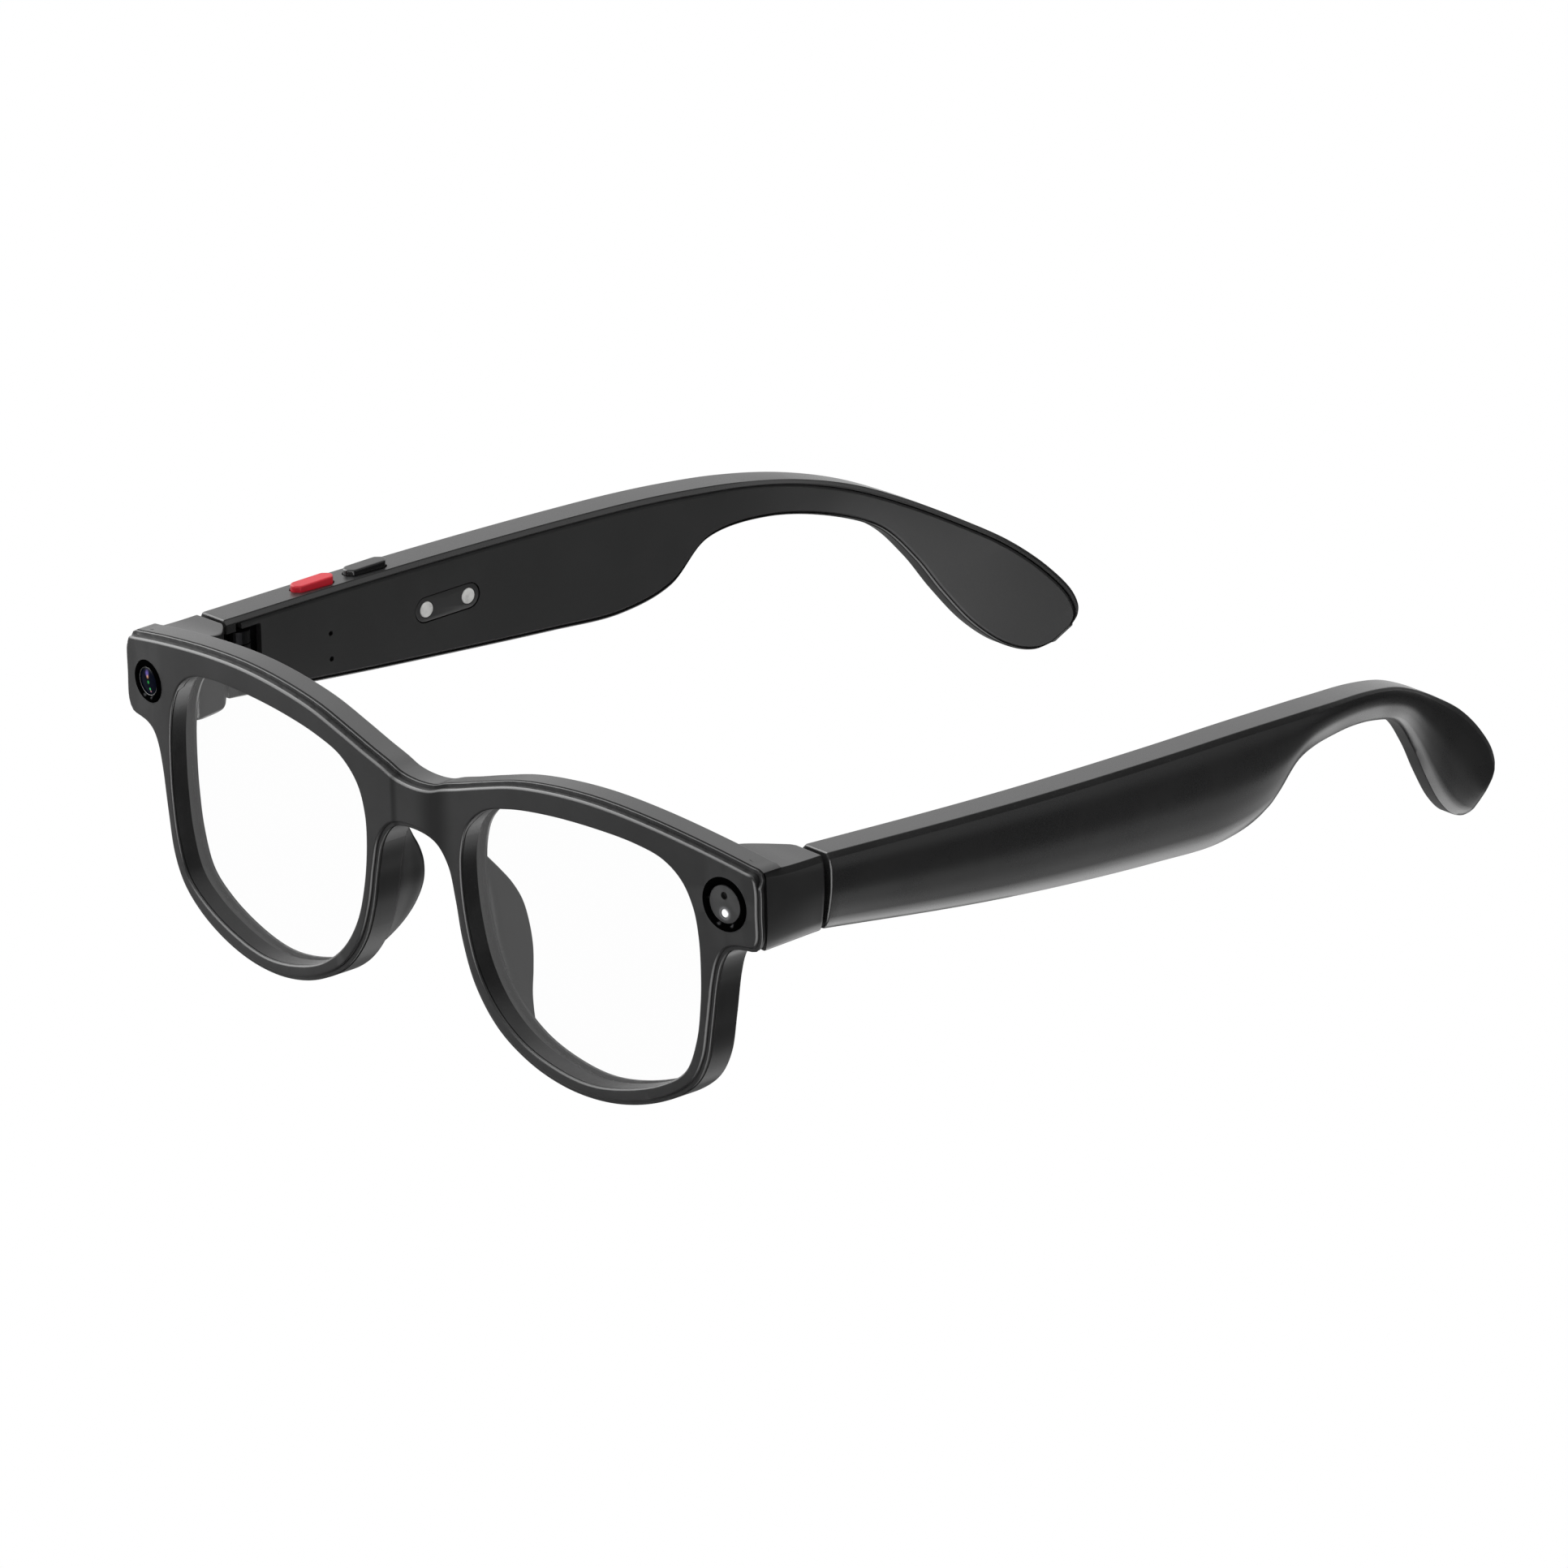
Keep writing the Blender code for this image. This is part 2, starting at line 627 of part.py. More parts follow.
def make_light(bezel_surface, cover_surface, pipe_surface, board_surface):
    inner = LIGHT_COVER_RADIUS + 0.1
    make_bezel("light_bezel", LIGHT_BEZEL_RADIUS, inner, MODULE_X, bezel_surface)
    disc = [LIGHT_COVER_RADIUS] * 2
    cover = round_bar("light_cover", disc, [0.1, 1.1], 1, (0, 0, 0), cover_surface)
    low = (0, 0, -LIGHT_PIPE_DROP)
    high = (0, 0, SENSOR_HOLE_RISE)
    wide, through = [LIGHT_PIPE_RADIUS + 0.1] * 2, [-1.0, 2.0]
    pipe_bore = round_bar("light_pipe_bore", wide, through, 1, low, None, 16)
    sensor_bore = round_bar("sensor_bore", [SENSOR_HOLE_RADIUS] * 2, through, 1, high, None, 12)
    radii = [LIGHT_PIPE_RADIUS - 0.25, LIGHT_PIPE_RADIUS, LIGHT_PIPE_RADIUS]
    pipe = round_bar("light_pipe", radii, [-0.1, 0.15, 3.9], 1, low, pipe_surface, 16)
    board = box("light_board", (-3.0, 4.2, -3.0), (3.0, 5.2, 3.0), board_surface)
    for piece in (cover, pipe_bore, sensor_bore, pipe, board):
        place_on_wrap(piece, MODULE_X)
    cut(cover, pipe_bore)
    cut(cover, sensor_bore)


# ---------------------------------------------------------------- temples
def inner_x(y):
    return table_value(INNER_FACE, y)


def rail_point(rail, station):
    """A point on a rail at a station from 0 to TEMPLE_STATIONS."""
    place = station / TEMPLE_STATIONS * (len(rail) - 1)
    i = min(int(place), len(rail) - 2)
    return segment(rail, i, False, place - i)


def temple_width(station):
    """Width of the top face: full at the front, thinner behind the ear, closing at the tip."""
    share = station / TEMPLE_STATIONS
    slim = min(max((share - 0.3) / 0.35, 0.0), 1.0)
    width = TEMPLE_TOP_WIDTH + (TIP_WIDTH - TEMPLE_TOP_WIDTH) * slim * slim * (3 - 2 * slim)
    closing = min(max((share - 0.9) / 0.1, 0.0), 1.0)
    return width * (1 - 0.35 * closing**2)


def temple_point(station, share, depth, inset=0.0):
    """A point at a share of the height and a depth outwards from the inner face."""
    y1, z1 = rail_point(TOP_RAIL, station)
    y0, z0 = rail_point(BOTTOM_RAIL, station)
    height = math.hypot(y1 - y0, z1 - z0)
    share = inset / height + share * (1 - 2 * inset / height)
    y = y0 + share * (y1 - y0)
    return (inner_x(y) + depth, y, z0 + share * (z1 - z0))


def temple_section(station):
    width = temple_width(station)
    scale = width / TEMPLE_TOP_WIDTH
    inner_side = [(0.0, 0.5), (0.03, 0.0), (0.97, 0.0), (1.0, 0.5)]
    ring = [temple_point(station, share, depth) for share, depth in inner_side]
    for share, beyond in OUTER_BULGE[::-1]:
        ring.append(temple_point(station, share, width + beyond * scale))
    return ring


def panel_sections(first, last, inset, depth_in, depth_out, count):
    """Sections of a flat panel or a cutter that follows the temple's inner face."""
    sections = []
    for k in range(count + 1):
        station = first + (last - first) * k / count
        sections.append(
            [
                temple_point(station, 0.0, depth_in, inset),
                temple_point(station, 1.0, depth_in, inset),
                temple_point(station, 1.0, depth_out, inset),
                temple_point(station, 0.0, depth_out, inset),
            ]
        )
    return sections


def stadium(name, centre_y, centre_z, length, height, x0, x1, surface, ends=6):
    """A plate with round ends in the plane of the temple's inner face."""
    radius = height / 2
    outline = []
    for middle, start in ((length / 2 - radius, -90), (radius - length / 2, 90)):
        for k in range(ends + 1):
            angle = math.radians(start + 180 * k / ends)
            outline.append((middle + radius * math.cos(angle), radius * math.sin(angle)))
    sections = [[(x, centre_y + a, centre_z + b) for a, b in outline] for x in (x0, x1)]
    return loft(name, sections, surface)


def button_outline(length, width):
    """Octagon-ended outline of a button, seen from above."""
    half, edge = length / 2, width / 2
    corners = [(half, edge - BUTTON_CORNER), (half - BUTTON_CORNER, edge)]
    return (
        corners
        + [(-a, b) for a, b in reversed(corners)]
        + [(-a, -b) for a, b in corners]
        + [(a, -b) for a, b in reversed(corners)]
    )


def stacked_button(name, centre_y, levels, surface):
    """A solid on the button's centre line through (z, outline) levels."""
    middle = inner_x(centre_y) + BUTTON_ACROSS
    sections = [[(-(middle + b), centre_y + a, z) for a, b in outline] for z, outline in levels]
    return loft(name, sections, surface)


def button_solid(name, centre_y, height, surface):
    """A button: a proud cap with a softened top, on a wider foot that keeps it inside the shell."""
    foot = button_outline(BUTTON_LENGTH + FOOT_EXTRA_LENGTH, BUTTON_WIDTH + FOOT_EXTRA_WIDTH)
    cap = button_outline(BUTTON_LENGTH, BUTTON_WIDTH)
    rim = button_outline(BUTTON_LENGTH - 2 * BUTTON_TOP_EDGE, BUTTON_WIDTH - 2 * BUTTON_TOP_EDGE)
    top = height + BUTTON_PROUD
    levels = [(height - FOOT_DEPTH[1], foot), (height - FOOT_DEPTH[0], foot)]
    levels += [(height - FOOT_DEPTH[0] + 0.01, cap), (top - BUTTON_TOP_EDGE, cap), (top, rim)]
    return stacked_button(name, centre_y, levels, surface)


def button_hole(name, centre_y, height):
    """The opening in the shell's top wall that a button slides in."""
    gap = 2 * BUTTON_CLEARANCE
    outline = button_outline(BUTTON_LENGTH + gap, BUTTON_WIDTH + gap)
    return stacked_button(name, centre_y, [(height - 4.0, outline), (height + 2.0, outline)], None)


def top_z(y):
    """Height of the temple's top edge at y, along its straight stretch."""
    return table_value(TOP_RAIL, y)


def make_temple(side, shell_surface, cover_surface):
    name = side_name(side)
    sections = [temple_section(station) for station in range(TEMPLE_STATIONS + 1)]
    shell = loft(f"{name}_temple_shell", mirror_points(sections, side), shell_surface)

    first, last = COVER_STATIONS
    inset, depth = COVER_INSET - COVER_CLEARANCE, COVER_THICKNESS + COVER_CLEARANCE
    pocket = panel_sections(first - 0.12, last + 0.12, inset, -0.6, depth, COVER_SECTIONS)
    cut(shell, loft(f"{name}_cover_pocket", mirror_points(pocket, side), None))
    inset = COVER_INSET + CAVITY_WALL - 0.4
    cavity = panel_sections(*CAVITY_STATIONS, inset, *CAVITY_DEPTH, CAVITY_SECTIONS)
    cut(shell, loft(f"{name}_cavity", mirror_points(cavity, side), None))

    low, high = sorted((side * 69.0, side * (LEAF_PLATE_X[1] + 0.3)))
    seat = box(
        f"{name}_leaf_seat",
        (low, NOTCH_BACK - 1.5, NOTCH_Z[0]),
        (high, TEMPLE_LEAF_END + 0.3, NOTCH_Z[1]),
        None,
    )
    cut(shell, seat)
    panel = panel_sections(first, last, COVER_INSET, 0.0, COVER_THICKNESS, COVER_SECTIONS)
    cover = loft(f"{name}_temple_cover", mirror_points(panel, side), cover_surface)
    low, high = sorted((side * 65.0, side * NOTCH_DEPTH_X))
    for number, piece in enumerate((shell, cover)):
        notch = box(
            f"{name}_hinge_notch_{number}",
            (low, TEMPLE_START - 1.0, NOTCH_Z[0]),
            (high, NOTCH_BACK, NOTCH_Z[1]),
            None,
        )
        cut(piece, notch)
    return shell, cover


def hinge_centre(side):
    return (side * HINGE_X, HINGE_Y, 0)


def screw_radii():
    return [SCREW_HEAD_RADIUS, SCREW_HEAD_RADIUS, SCREW_RADIUS, SCREW_RADIUS]


def make_front_hinge(side, steel):
    """The front leaf with its one knuckle, the pin and the screw that holds the leaf."""
    name = side_name(side)
    x = side * HINGE_X
    centre = hinge_centre(side)
    low = (x - LEAF_HALF_THICKNESS, FRONT_LEAF_START, MIDDLE_KNUCKLE[0])
    high = (x + LEAF_HALF_THICKNESS, HINGE_Y, MIDDLE_KNUCKLE[1])
    leaf = box(f"{name}_hinge_front_leaf", low, high, steel)
    barrel = [KNUCKLE_RADIUS] * 2
    join(leaf, round_bar(f"{name}_middle_knuckle", barrel, MIDDLE_KNUCKLE, 2, centre, None))
    around_pin = [PIN_RADIUS + PIN_CLEARANCE] * 2
    cut(leaf, round_bar(f"{name}_front_pin_bore", around_pin, [0, 20], 2, centre, None, 16))
    around_screw = [SCREW_RADIUS + 0.1] * 2
    screw = (0, FRONT_SCREW_Y, HINGE_Z)
    places = [x - 4, x + 4]
    cut(leaf, round_bar(f"{name}_front_leaf_hole", around_screw, places, 0, screw, None, 12))
    ends = [LOWER_KNUCKLE[0] - 0.1, UPPER_KNUCKLE[1] + 0.1]
    round_bar(f"{name}_hinge_pin", [PIN_RADIUS] * 2, ends, 2, centre, steel, 16)
    places = [side * place for place in FRONT_SCREW_X]
    round_bar(f"{name}_front_hinge_screw", screw_radii(), places, 0, screw, steel, 12)


def make_temple_hinge(side, shell, steel):
    """The temple leaf: a plate behind the notch whose two arms reach round the middle knuckle."""
    name = side_name(side)
    centre = hinge_centre(side)
    inside, outside = sorted(side * place for place in LEAF_PLATE_X)
    low = (inside, NOTCH_BACK - 1.0, LOWER_KNUCKLE[0])
    high = (outside, TEMPLE_LEAF_END, UPPER_KNUCKLE[1])
    leaf = box(f"{name}_hinge_temple_leaf", low, high, steel)
    inside, outside = sorted(side * (HINGE_X + reach) for reach in ARM_REACH_X)
    barrel = [KNUCKLE_RADIUS] * 2
    for label, (z0, z1) in (("lower", LOWER_KNUCKLE), ("upper", UPPER_KNUCKLE)):
        low, high = (inside, HINGE_Y - 0.2, z0), (outside, NOTCH_BACK, z1)
        join(leaf, box(f"{name}_{label}_arm", low, high, None))
        join(leaf, round_bar(f"{name}_{label}_knuckle", barrel, (z0, z1), 2, centre, None))
    around_pin = [PIN_RADIUS + PIN_CLEARANCE] * 2
    cut(leaf, round_bar(f"{name}_temple_pin_bore", around_pin, [0, 20], 2, centre, None, 16))
    screw = (0, TEMPLE_SCREW_Y, HINGE_Z)
    wide, narrow = SCREW_HEAD_RADIUS + 0.15, SCREW_RADIUS + 0.1
    places = [side * place for place in (69.0, 70.8, 70.81, 73.0)]
    radii = [wide, wide, narrow, narrow]
    cut(leaf, round_bar(f"{name}_temple_leaf_hole", radii, places, 0, screw, None, 12))
    places = [side * place for place in TEMPLE_SCREW_X]
    round_bar(f"{name}_temple_hinge_screw", screw_radii(), places, 0, screw, steel, 12)
    radii = [SCREW_RADIUS + 0.15] * 2
    places = [side * 71.0, side * 74.6]
    cut(shell, round_bar(f"{name}_temple_screw_bore", radii, places, 0, screw, None, 12))


def make_electronics(side, battery_surface, speaker_surface):
    """Battery and speaker inside a temple."""
    name = side_name(side)
    x0 = inner_x(80.0) + ELECTRONICS_INSET
    x1 = x0 + BATTERY_THICKNESS
    inside, outside = sorted((side * x0, side * x1))
    low, high = (inside, BATTERY_Y[0], BATTERY_Z[0]), (outside, BATTERY_Y[1], BATTERY_Z[1])
    box(f"{name}_battery", low, high, battery_surface, 0.4)
    inside, outside = sorted((side * (x0 + 0.1), side * (x1 + 0.1)))
    start = SPEAKER_START[side]
    low, high = (inside, start, SPEAKER_Z[0]), (outside, start + SPEAKER_LENGTH, SPEAKER_Z[1])
    box(f"{name}_speaker", low, high, speaker_surface, 0.3)


def make_button(name, y, shell, surface, switch_surface):
    """A button in its hole in the shell, and the switch it presses."""
    height = top_z(y)
    middle = inner_x(y) + BUTTON_ACROSS
    before = set(bpy.data.objects)
    button_solid(name, y, height, surface)
    hang_new(before, f"{name}_axis", (-middle, y, height))
    cut(shell, button_hole(f"{name}_hole", y, height))
    top = height - FOOT_DEPTH[1] - BUTTON_TRAVEL - 0.1
    low = (-middle - SWITCH_HALF_WIDTH, y - SWITCH_HALF_LENGTH, top - SWITCH_HEIGHT)
    high = (-middle + SWITCH_HALF_WIDTH, y + SWITCH_HALF_LENGTH, top)
    box(f"{name}_switch", low, high, switch_surface)


def make_contacts(cover, plate_surface, contact_surface):
    """The plate let into the inner cover and the two spring contacts that stand in it."""
    face = -inner_x(sum(CONTACT_Y) / 2)
    where = (sum(CONTACT_Y) / 2, CONTACT_Z)
    size = (CONTACT_PLATE_LENGTH, CONTACT_PLATE_HEIGHT)
    stadium("contact_plate", *where, *size, face, face - 0.7, plate_surface)
    plate = bpy.data.objects["contact_plate"]
    size = (CONTACT_PLATE_LENGTH + 0.3, CONTACT_PLATE_HEIGHT + 0.3)
    cut(cover, stadium("contact_recess", *where, *size, face + 2.0, face - 0.85, None))
    for label, y in zip(("front", "rear"), CONTACT_Y):
        centre = (0, y, CONTACT_Z)
        radii = [CONTACT_RADIUS - 0.15, CONTACT_RADIUS, CONTACT_RADIUS, 0.6, 0.6]
        places = [face + 0.1, face, face - 0.45, face - 0.46, face - 1.6]
        round_bar(f"charging_contact_{label}", radii, places, 0, centre, contact_surface, 20)
        radii = [CONTACT_RADIUS + 0.1, CONTACT_RADIUS + 0.1, 0.75, 0.75]
        places = [face + 0.5, face - 0.55, face - 0.56, face - 2.0]
        cut(plate, round_bar(f"contact_seat_{label}", radii, places, 0, centre, None, 20))
        places = [face + 1.0, face - 2.0]
        cut(cover, round_bar(f"contact_way_{label}", [0.85] * 2, places, 0, centre, None, 12))


def make_right_controls(shell, cover, surfaces):
    """Buttons, their switches, the main board, the charging contacts and the microphone holes."""
    make_button("red_button", RED_BUTTON_Y, shell, surfaces["red"], surfaces["steel"])
    make_button("black_button", BLACK_BUTTON_Y, shell, surfaces["gloss"], surfaces["steel"])
    x = inner_x(48.0) + 2.1
    low, high = (-x - BOARD_THICKNESS, BOARD_Y[0], BOARD_Z[0]), (-x, BOARD_Y[1], BOARD_Z[1])
    box("main_board", low, high, surfaces["board"])
    make_contacts(cover, surfaces["plate"], surfaces["silver"])
    for number, z in enumerate(MICROPHONE_Z):
        name, radii = f"microphone_hole_{number}", [MICROPHONE_RADIUS] * 2
        cut(cover, round_bar(name, radii, [-71.5, -66.0], 0, (0, MICROPHONE_Y, z), None, 10))


def main():
    for old in list(bpy.data.objects):
        bpy.data.objects.remove(old, do_unlink=True)
    centre_line = bpy.data.objects.new("lens_centre_line", None)
    centre_line.location = (0.0, 0.0, -BRIDGE_Z * MM)
    bpy.context.scene.collection.objects.link(centre_line)

    satin = material("satin black plastic", (0.035, 0.035, 0.037), 0.45)
    matte = material("matte black plastic", (0.02, 0.02, 0.022), 0.7)
    gloss = material("gloss black plastic", (0.01, 0.01, 0.011), 0.12)
    dark = material("dark grey plastic", (0.05, 0.05, 0.052), 0.5)
    red = material("red plastic", (0.55, 0.015, 0.03), 0.3)
    clear = material("clear lens", (0.95, 0.97, 0.98), 0.02, alpha=0.2)
    steel = material("steel", (0.6, 0.6, 0.62), 0.3, 1.0)
    silver = material("plated contact", (0.8, 0.8, 0.8), 0.25, 1.0)
    white = material("light pipe", (0.95, 0.97, 1.0), 0.3)
    board = material("circuit board", (0.02, 0.12, 0.05), 0.5)
    foil = material("battery foil", (0.55, 0.56, 0.58), 0.35, 0.6)
    amber = material("flexible cable", (0.45, 0.2, 0.03), 0.45)

    make_front_plate(satin)
    make_rear_frame(satin)
    for side in (1, -1):
        make_lens(side, clear)
    make_camera(gloss, clear, matte, board)
    make_light(gloss, dark, white, board)
    cable_front = PLATE_THICKNESS + JOINT_GAP + 0.25
    cable_strip("brow_flex_cable", CABLE_WIDTH, cable_front, cable_front + CABLE_THICKNESS, amber)

    for side in (1, -1):
        make_front_hinge(side, steel)
        before = set(bpy.data.objects)
        shell, cover = make_temple(side, satin, matte)
        make_temple_hinge(side, shell, steel)
        make_electronics(side, foil, dark)
        if side < 0:
            surfaces = {"red": red, "gloss": gloss, "steel": steel}
            surfaces.update({"board": board, "plate": dark, "silver": silver})
            make_right_controls(shell, cover, surfaces)
        hang_new(before, f"{side_name(side)}_hinge_axis", hinge_centre(side))


main()
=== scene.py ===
"""Looks for the smart glasses: fine surfaces, plastics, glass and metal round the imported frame.

Lengths are millimetres until a mesh is finished. Heights are from the lens centre line, which lies
LENS_LINE_DROP under the frame's origin. Mirrored pieces are built for +X and flipped for the other side.
"""

import json
import math

import bmesh
import bpy
from mathutils import Matrix, Vector


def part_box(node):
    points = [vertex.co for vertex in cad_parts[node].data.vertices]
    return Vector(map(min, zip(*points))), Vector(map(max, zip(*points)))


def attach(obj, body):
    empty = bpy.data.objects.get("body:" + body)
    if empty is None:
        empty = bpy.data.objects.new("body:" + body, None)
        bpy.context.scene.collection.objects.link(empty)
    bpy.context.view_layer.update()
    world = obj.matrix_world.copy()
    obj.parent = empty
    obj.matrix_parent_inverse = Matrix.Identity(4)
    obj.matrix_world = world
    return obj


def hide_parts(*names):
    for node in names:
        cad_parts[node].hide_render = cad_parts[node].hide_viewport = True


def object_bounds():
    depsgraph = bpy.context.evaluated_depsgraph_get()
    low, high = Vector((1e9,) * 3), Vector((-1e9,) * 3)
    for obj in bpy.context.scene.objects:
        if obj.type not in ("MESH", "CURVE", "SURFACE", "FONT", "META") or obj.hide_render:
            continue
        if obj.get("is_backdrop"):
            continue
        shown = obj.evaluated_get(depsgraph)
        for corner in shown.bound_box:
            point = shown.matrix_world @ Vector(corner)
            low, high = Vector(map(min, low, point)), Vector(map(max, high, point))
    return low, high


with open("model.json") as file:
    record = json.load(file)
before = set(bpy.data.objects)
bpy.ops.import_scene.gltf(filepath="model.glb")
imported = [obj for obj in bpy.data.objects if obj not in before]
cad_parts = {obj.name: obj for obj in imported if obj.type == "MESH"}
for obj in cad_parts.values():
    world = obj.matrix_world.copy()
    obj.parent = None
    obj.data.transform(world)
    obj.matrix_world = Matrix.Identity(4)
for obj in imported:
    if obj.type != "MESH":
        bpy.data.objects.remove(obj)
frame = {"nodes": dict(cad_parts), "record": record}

CAD_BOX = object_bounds()

MM = 0.001
LENS_LINE_DROP = 8.0


def node_box(name):
    """Lowest and highest corner of a CAD node in millimetres, heights from the lens centre line."""
    shift = Vector((0, 0, LENS_LINE_DROP))
    low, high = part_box(name)
    return low / MM + shift, high / MM + shift


def side_name(side):
    return "left" if side > 0 else "right"


def node_centre(name):
    low, high = node_box(name)
    return (low + high) / 2


# ---------------------------------------------------------------- driving sizes
WRAP_RADIUS = 440.0
FLAT_BRIDGE = 4.0
FRONT_DEPTH = 5.7
REAR_LEDGE = 0.65
# The rear frame's ends are drawn in by END_TUCK. The tuck grows between these distances from the middle,
# and fades out between these heights, which are given downwards.
END_TUCK = 1.7
TUCK_ACROSS = (70.8, 72.8)
TUCK_DOWN = (-15.1, -14.2)
CURVE_STEP = 0.8
WRAP_STEP = 4.0

FRONT_OUTLINE = [
    (0.0, 11.2), (4.1, 11.6), (7.0, 12.6), (10.8, 13.7), (16.4, 15.4), (23.9, 17.4),
    (33.0, 18.6), (42.0, 18.9), (52.1, 18.25), (63.1, 16.75), (71.6, 15.15), (73.55, 14.65),
    (74.1, 12.9), (74.1, 8.5), (74.0, 4.3), (73.2, 3.1), (71.6, 2.9), (69.0, 2.5),
    (67.1, 1.4), (65.8, -0.6), (64.8, -4.0), (63.6, -11.0), (62.3, -17.3), (60.1, -21.3),
    (56.0, -24.5), (49.3, -27.3), (41.4, -28.85), (33.0, -28.7), (25.1, -26.7), (18.3, -22.9),
    (13.65, -17.4), (11.15, -11.1), (9.8, -4.65), (8.3, 0.55), (5.4, 3.75), (0.0, 4.8),
]
LENS_OPENING = [
    (62.5, -3.0), (62.3, 2.5), (61.4, 7.0), (59.2, 10.9), (55.6, 13.4), (50.0, 14.6),
    (41.0, 15.0), (31.0, 14.6), (22.5, 13.4), (16.8, 11.6), (13.0, 8.2), (11.4, 3.8),
    (11.2, -1.5), (12.2, -8.5), (14.2, -14.6), (17.9, -19.9), (23.5, -24.0), (30.5, -26.4),
    (38.0, -27.3), (46.0, -26.1), (54.2, -23.2), (58.8, -20.0), (61.2, -14.5), (62.2, -8.5),
]

# Profiles across an edge, as rows of (distance into the material from the outline, depth behind the
# face along the lower rims and the ends, depth along the brow). The plate is thicker along the brow.
PLATE_EDGE = [
    (0.42, 0.0, 0.0), (0.26, 0.025, 0.025), (0.13, 0.1, 0.1), (0.04, 0.22, 0.22), (0.0, 0.36, 0.38),
    (0.03, 0.39, 0.42), (0.03, 0.43, 1.33),
]
PLATE_OPENING_EDGE = [
    (0.34, 0.0, 0.0), (0.2, 0.03, 0.03), (0.08, 0.1, 0.1), (0.01, 0.23, 0.23), (0.0, 0.34, 0.34),
    (0.0, 0.43, 1.33),
]
REAR_EDGE = [
    (0.95, 0.45, 1.36), (0.18, 0.45, 1.36), (0.07, 0.48, 1.39), (0.03, 0.53, 1.44), (0.15, 0.55, 1.47),
    (0.15, 1.12, 1.85), (0.0, 1.15, 1.88), (0.0, 5.2, 5.2), (0.04, 5.38, 5.38), (0.15, 5.55, 5.55),
    (0.33, 5.66, 5.66), (0.55, FRONT_DEPTH, FRONT_DEPTH),
]
REAR_OPENING_EDGE = [
    (0.17, 0.45, 1.36), (0.15, 0.6, 1.5), (0.03, 0.62, 1.52), (0.0, 0.68, 1.58), (0.0, 3.34, 3.34),
    (0.06, 3.4, 3.4), (0.85, 3.42, 3.42), (0.85, 4.98, 4.98), (0.12, 5.0, 5.0), (0.0, 5.06, 5.06),
    (0.0, 5.3, 5.3), (0.05, 5.5, 5.5), (0.18, 5.63, 5.63), (0.4, FRONT_DEPTH, FRONT_DEPTH),
]

# How far a lens reaches into its groove, and its rim as (inset, depth).
LENS_SEAT = 0.55
LENS_RIM = [(0.1, 3.62), (0.0, 3.8), (0.0, 4.6), (0.1, 4.78)]

TEMPLE_START = 20.4
TOP_RAIL = [
    (TEMPLE_START, 14.7), (55.0, 13.5), (88.0, 12.5), (103.0, 12.0), (113.0, 11.4), (123.0, 10.5),
    (132.9, 9.0), (141.8, 6.5), (149.6, 2.9), (157.3, -1.5), (164.6, -6.3), (170.4, -11.6),
    (174.0, -16.4), (174.7, -19.4), (173.5, -21.4),
]
BOTTOM_RAIL = [
    (TEMPLE_START, 1.9), (54.0, -2.2), (86.0, -5.0), (100.2, -5.6), (109.5, -3.3), (116.3, 2.7),
    (127.0, 4.0), (138.0, 2.0), (145.0, -1.2), (150.0, -7.0), (153.9, -13.2), (158.4, -19.3),
    (163.1, -23.3), (167.3, -24.7), (170.5, -23.9),
]
INNER_FACE = [
    (TEMPLE_START, 67.8), (45.0, 69.0), (65.0, 69.4), (90.0, 68.9), (110.0, 67.6),
    (125.0, 65.5), (138.0, 61.9), (150.0, 56.9), (162.0, 51.5), (176.0, 46.0),
]
RAIL_STATIONS = 44
TEMPLE_TOP_WIDTH = 5.8
TIP_WIDTH = 4.2
TEMPLE_RINGS = 150
TEMPLE_EDGE_ROUND = 0.35
TIP_STATION = 43.75
# The rounded edge at the very tip, as (inset, distance beyond the last section).
TIP_EDGE = [(0.0, 0.0), (0.05, 0.16), (0.16, 0.3), (0.36, 0.41), (0.65, 0.47)]
# Outer side of a temple below its chamfer: (share of the height, distance beyond the top width).
OUTER_BULGE = [(0.0, -1.5), (0.1, -0.5), (0.3, 0.2), (0.55, 0.8), (0.8, 0.9), (0.92, 0.6)]
CHAMFER_SHARE = 0.92
CHAMFER_OUT = 0.6

COVER_INSET = 1.0
COVER_LOW_INSET = 0.4
COVER_LOW_GAP = 0.06
INNER_CHAMFER = 0.68
COVER_GAP = 0.15
COVER_THICKNESS = 1.2
COVER_CHAMFER = 0.4
COVER_RINGS = 130
COVER_STATIONS = (0.3, 43.2)
CAVITY_STATIONS = (1.33, 15.0)
CAVITY_INSET = 2.1
CAVITY_DEPTH = 5.0

END_OUTER_LIMIT = 74.1
END_BOTTOM = 2.0
# The outer side at the seam, as (share of the height, distance beyond END_OUTER_LIMIT).
END_FRONT_BULGE = [(0.0, -0.8), (0.1, -0.45), (0.3, -0.12), (0.55, -0.03), (1.0, -0.05)]
# Shares of an end piece's height at which its outer side has a corner, and the stretches of its section
# that are black: the outer chamfer.
END_SHARES = (0.0, 0.1, 0.22, 0.38, 0.55, 0.72, 0.85)
END_STRIP = range(42, 47)
# The end piece takes on this share of the temple's bulge, from the first depth on and over the second.
END_BULGE = 0.6
END_BULGE_GROWTH = (8.0, 10.0)
# Sections of an end piece, as (depth, inner side, inner top, outer top).
END_STAGES = [
    (7.95, 70.0, 16.25, 15.25), (9.0, 65.0, 16.2, 15.1), (10.3, 62.9, 15.95, 14.9), (12.5, 62.9, 15.6, 14.7),
    (16.0, 63.8, 14.9, 14.6), (19.5, 67.2, 14.7, 14.6),
]
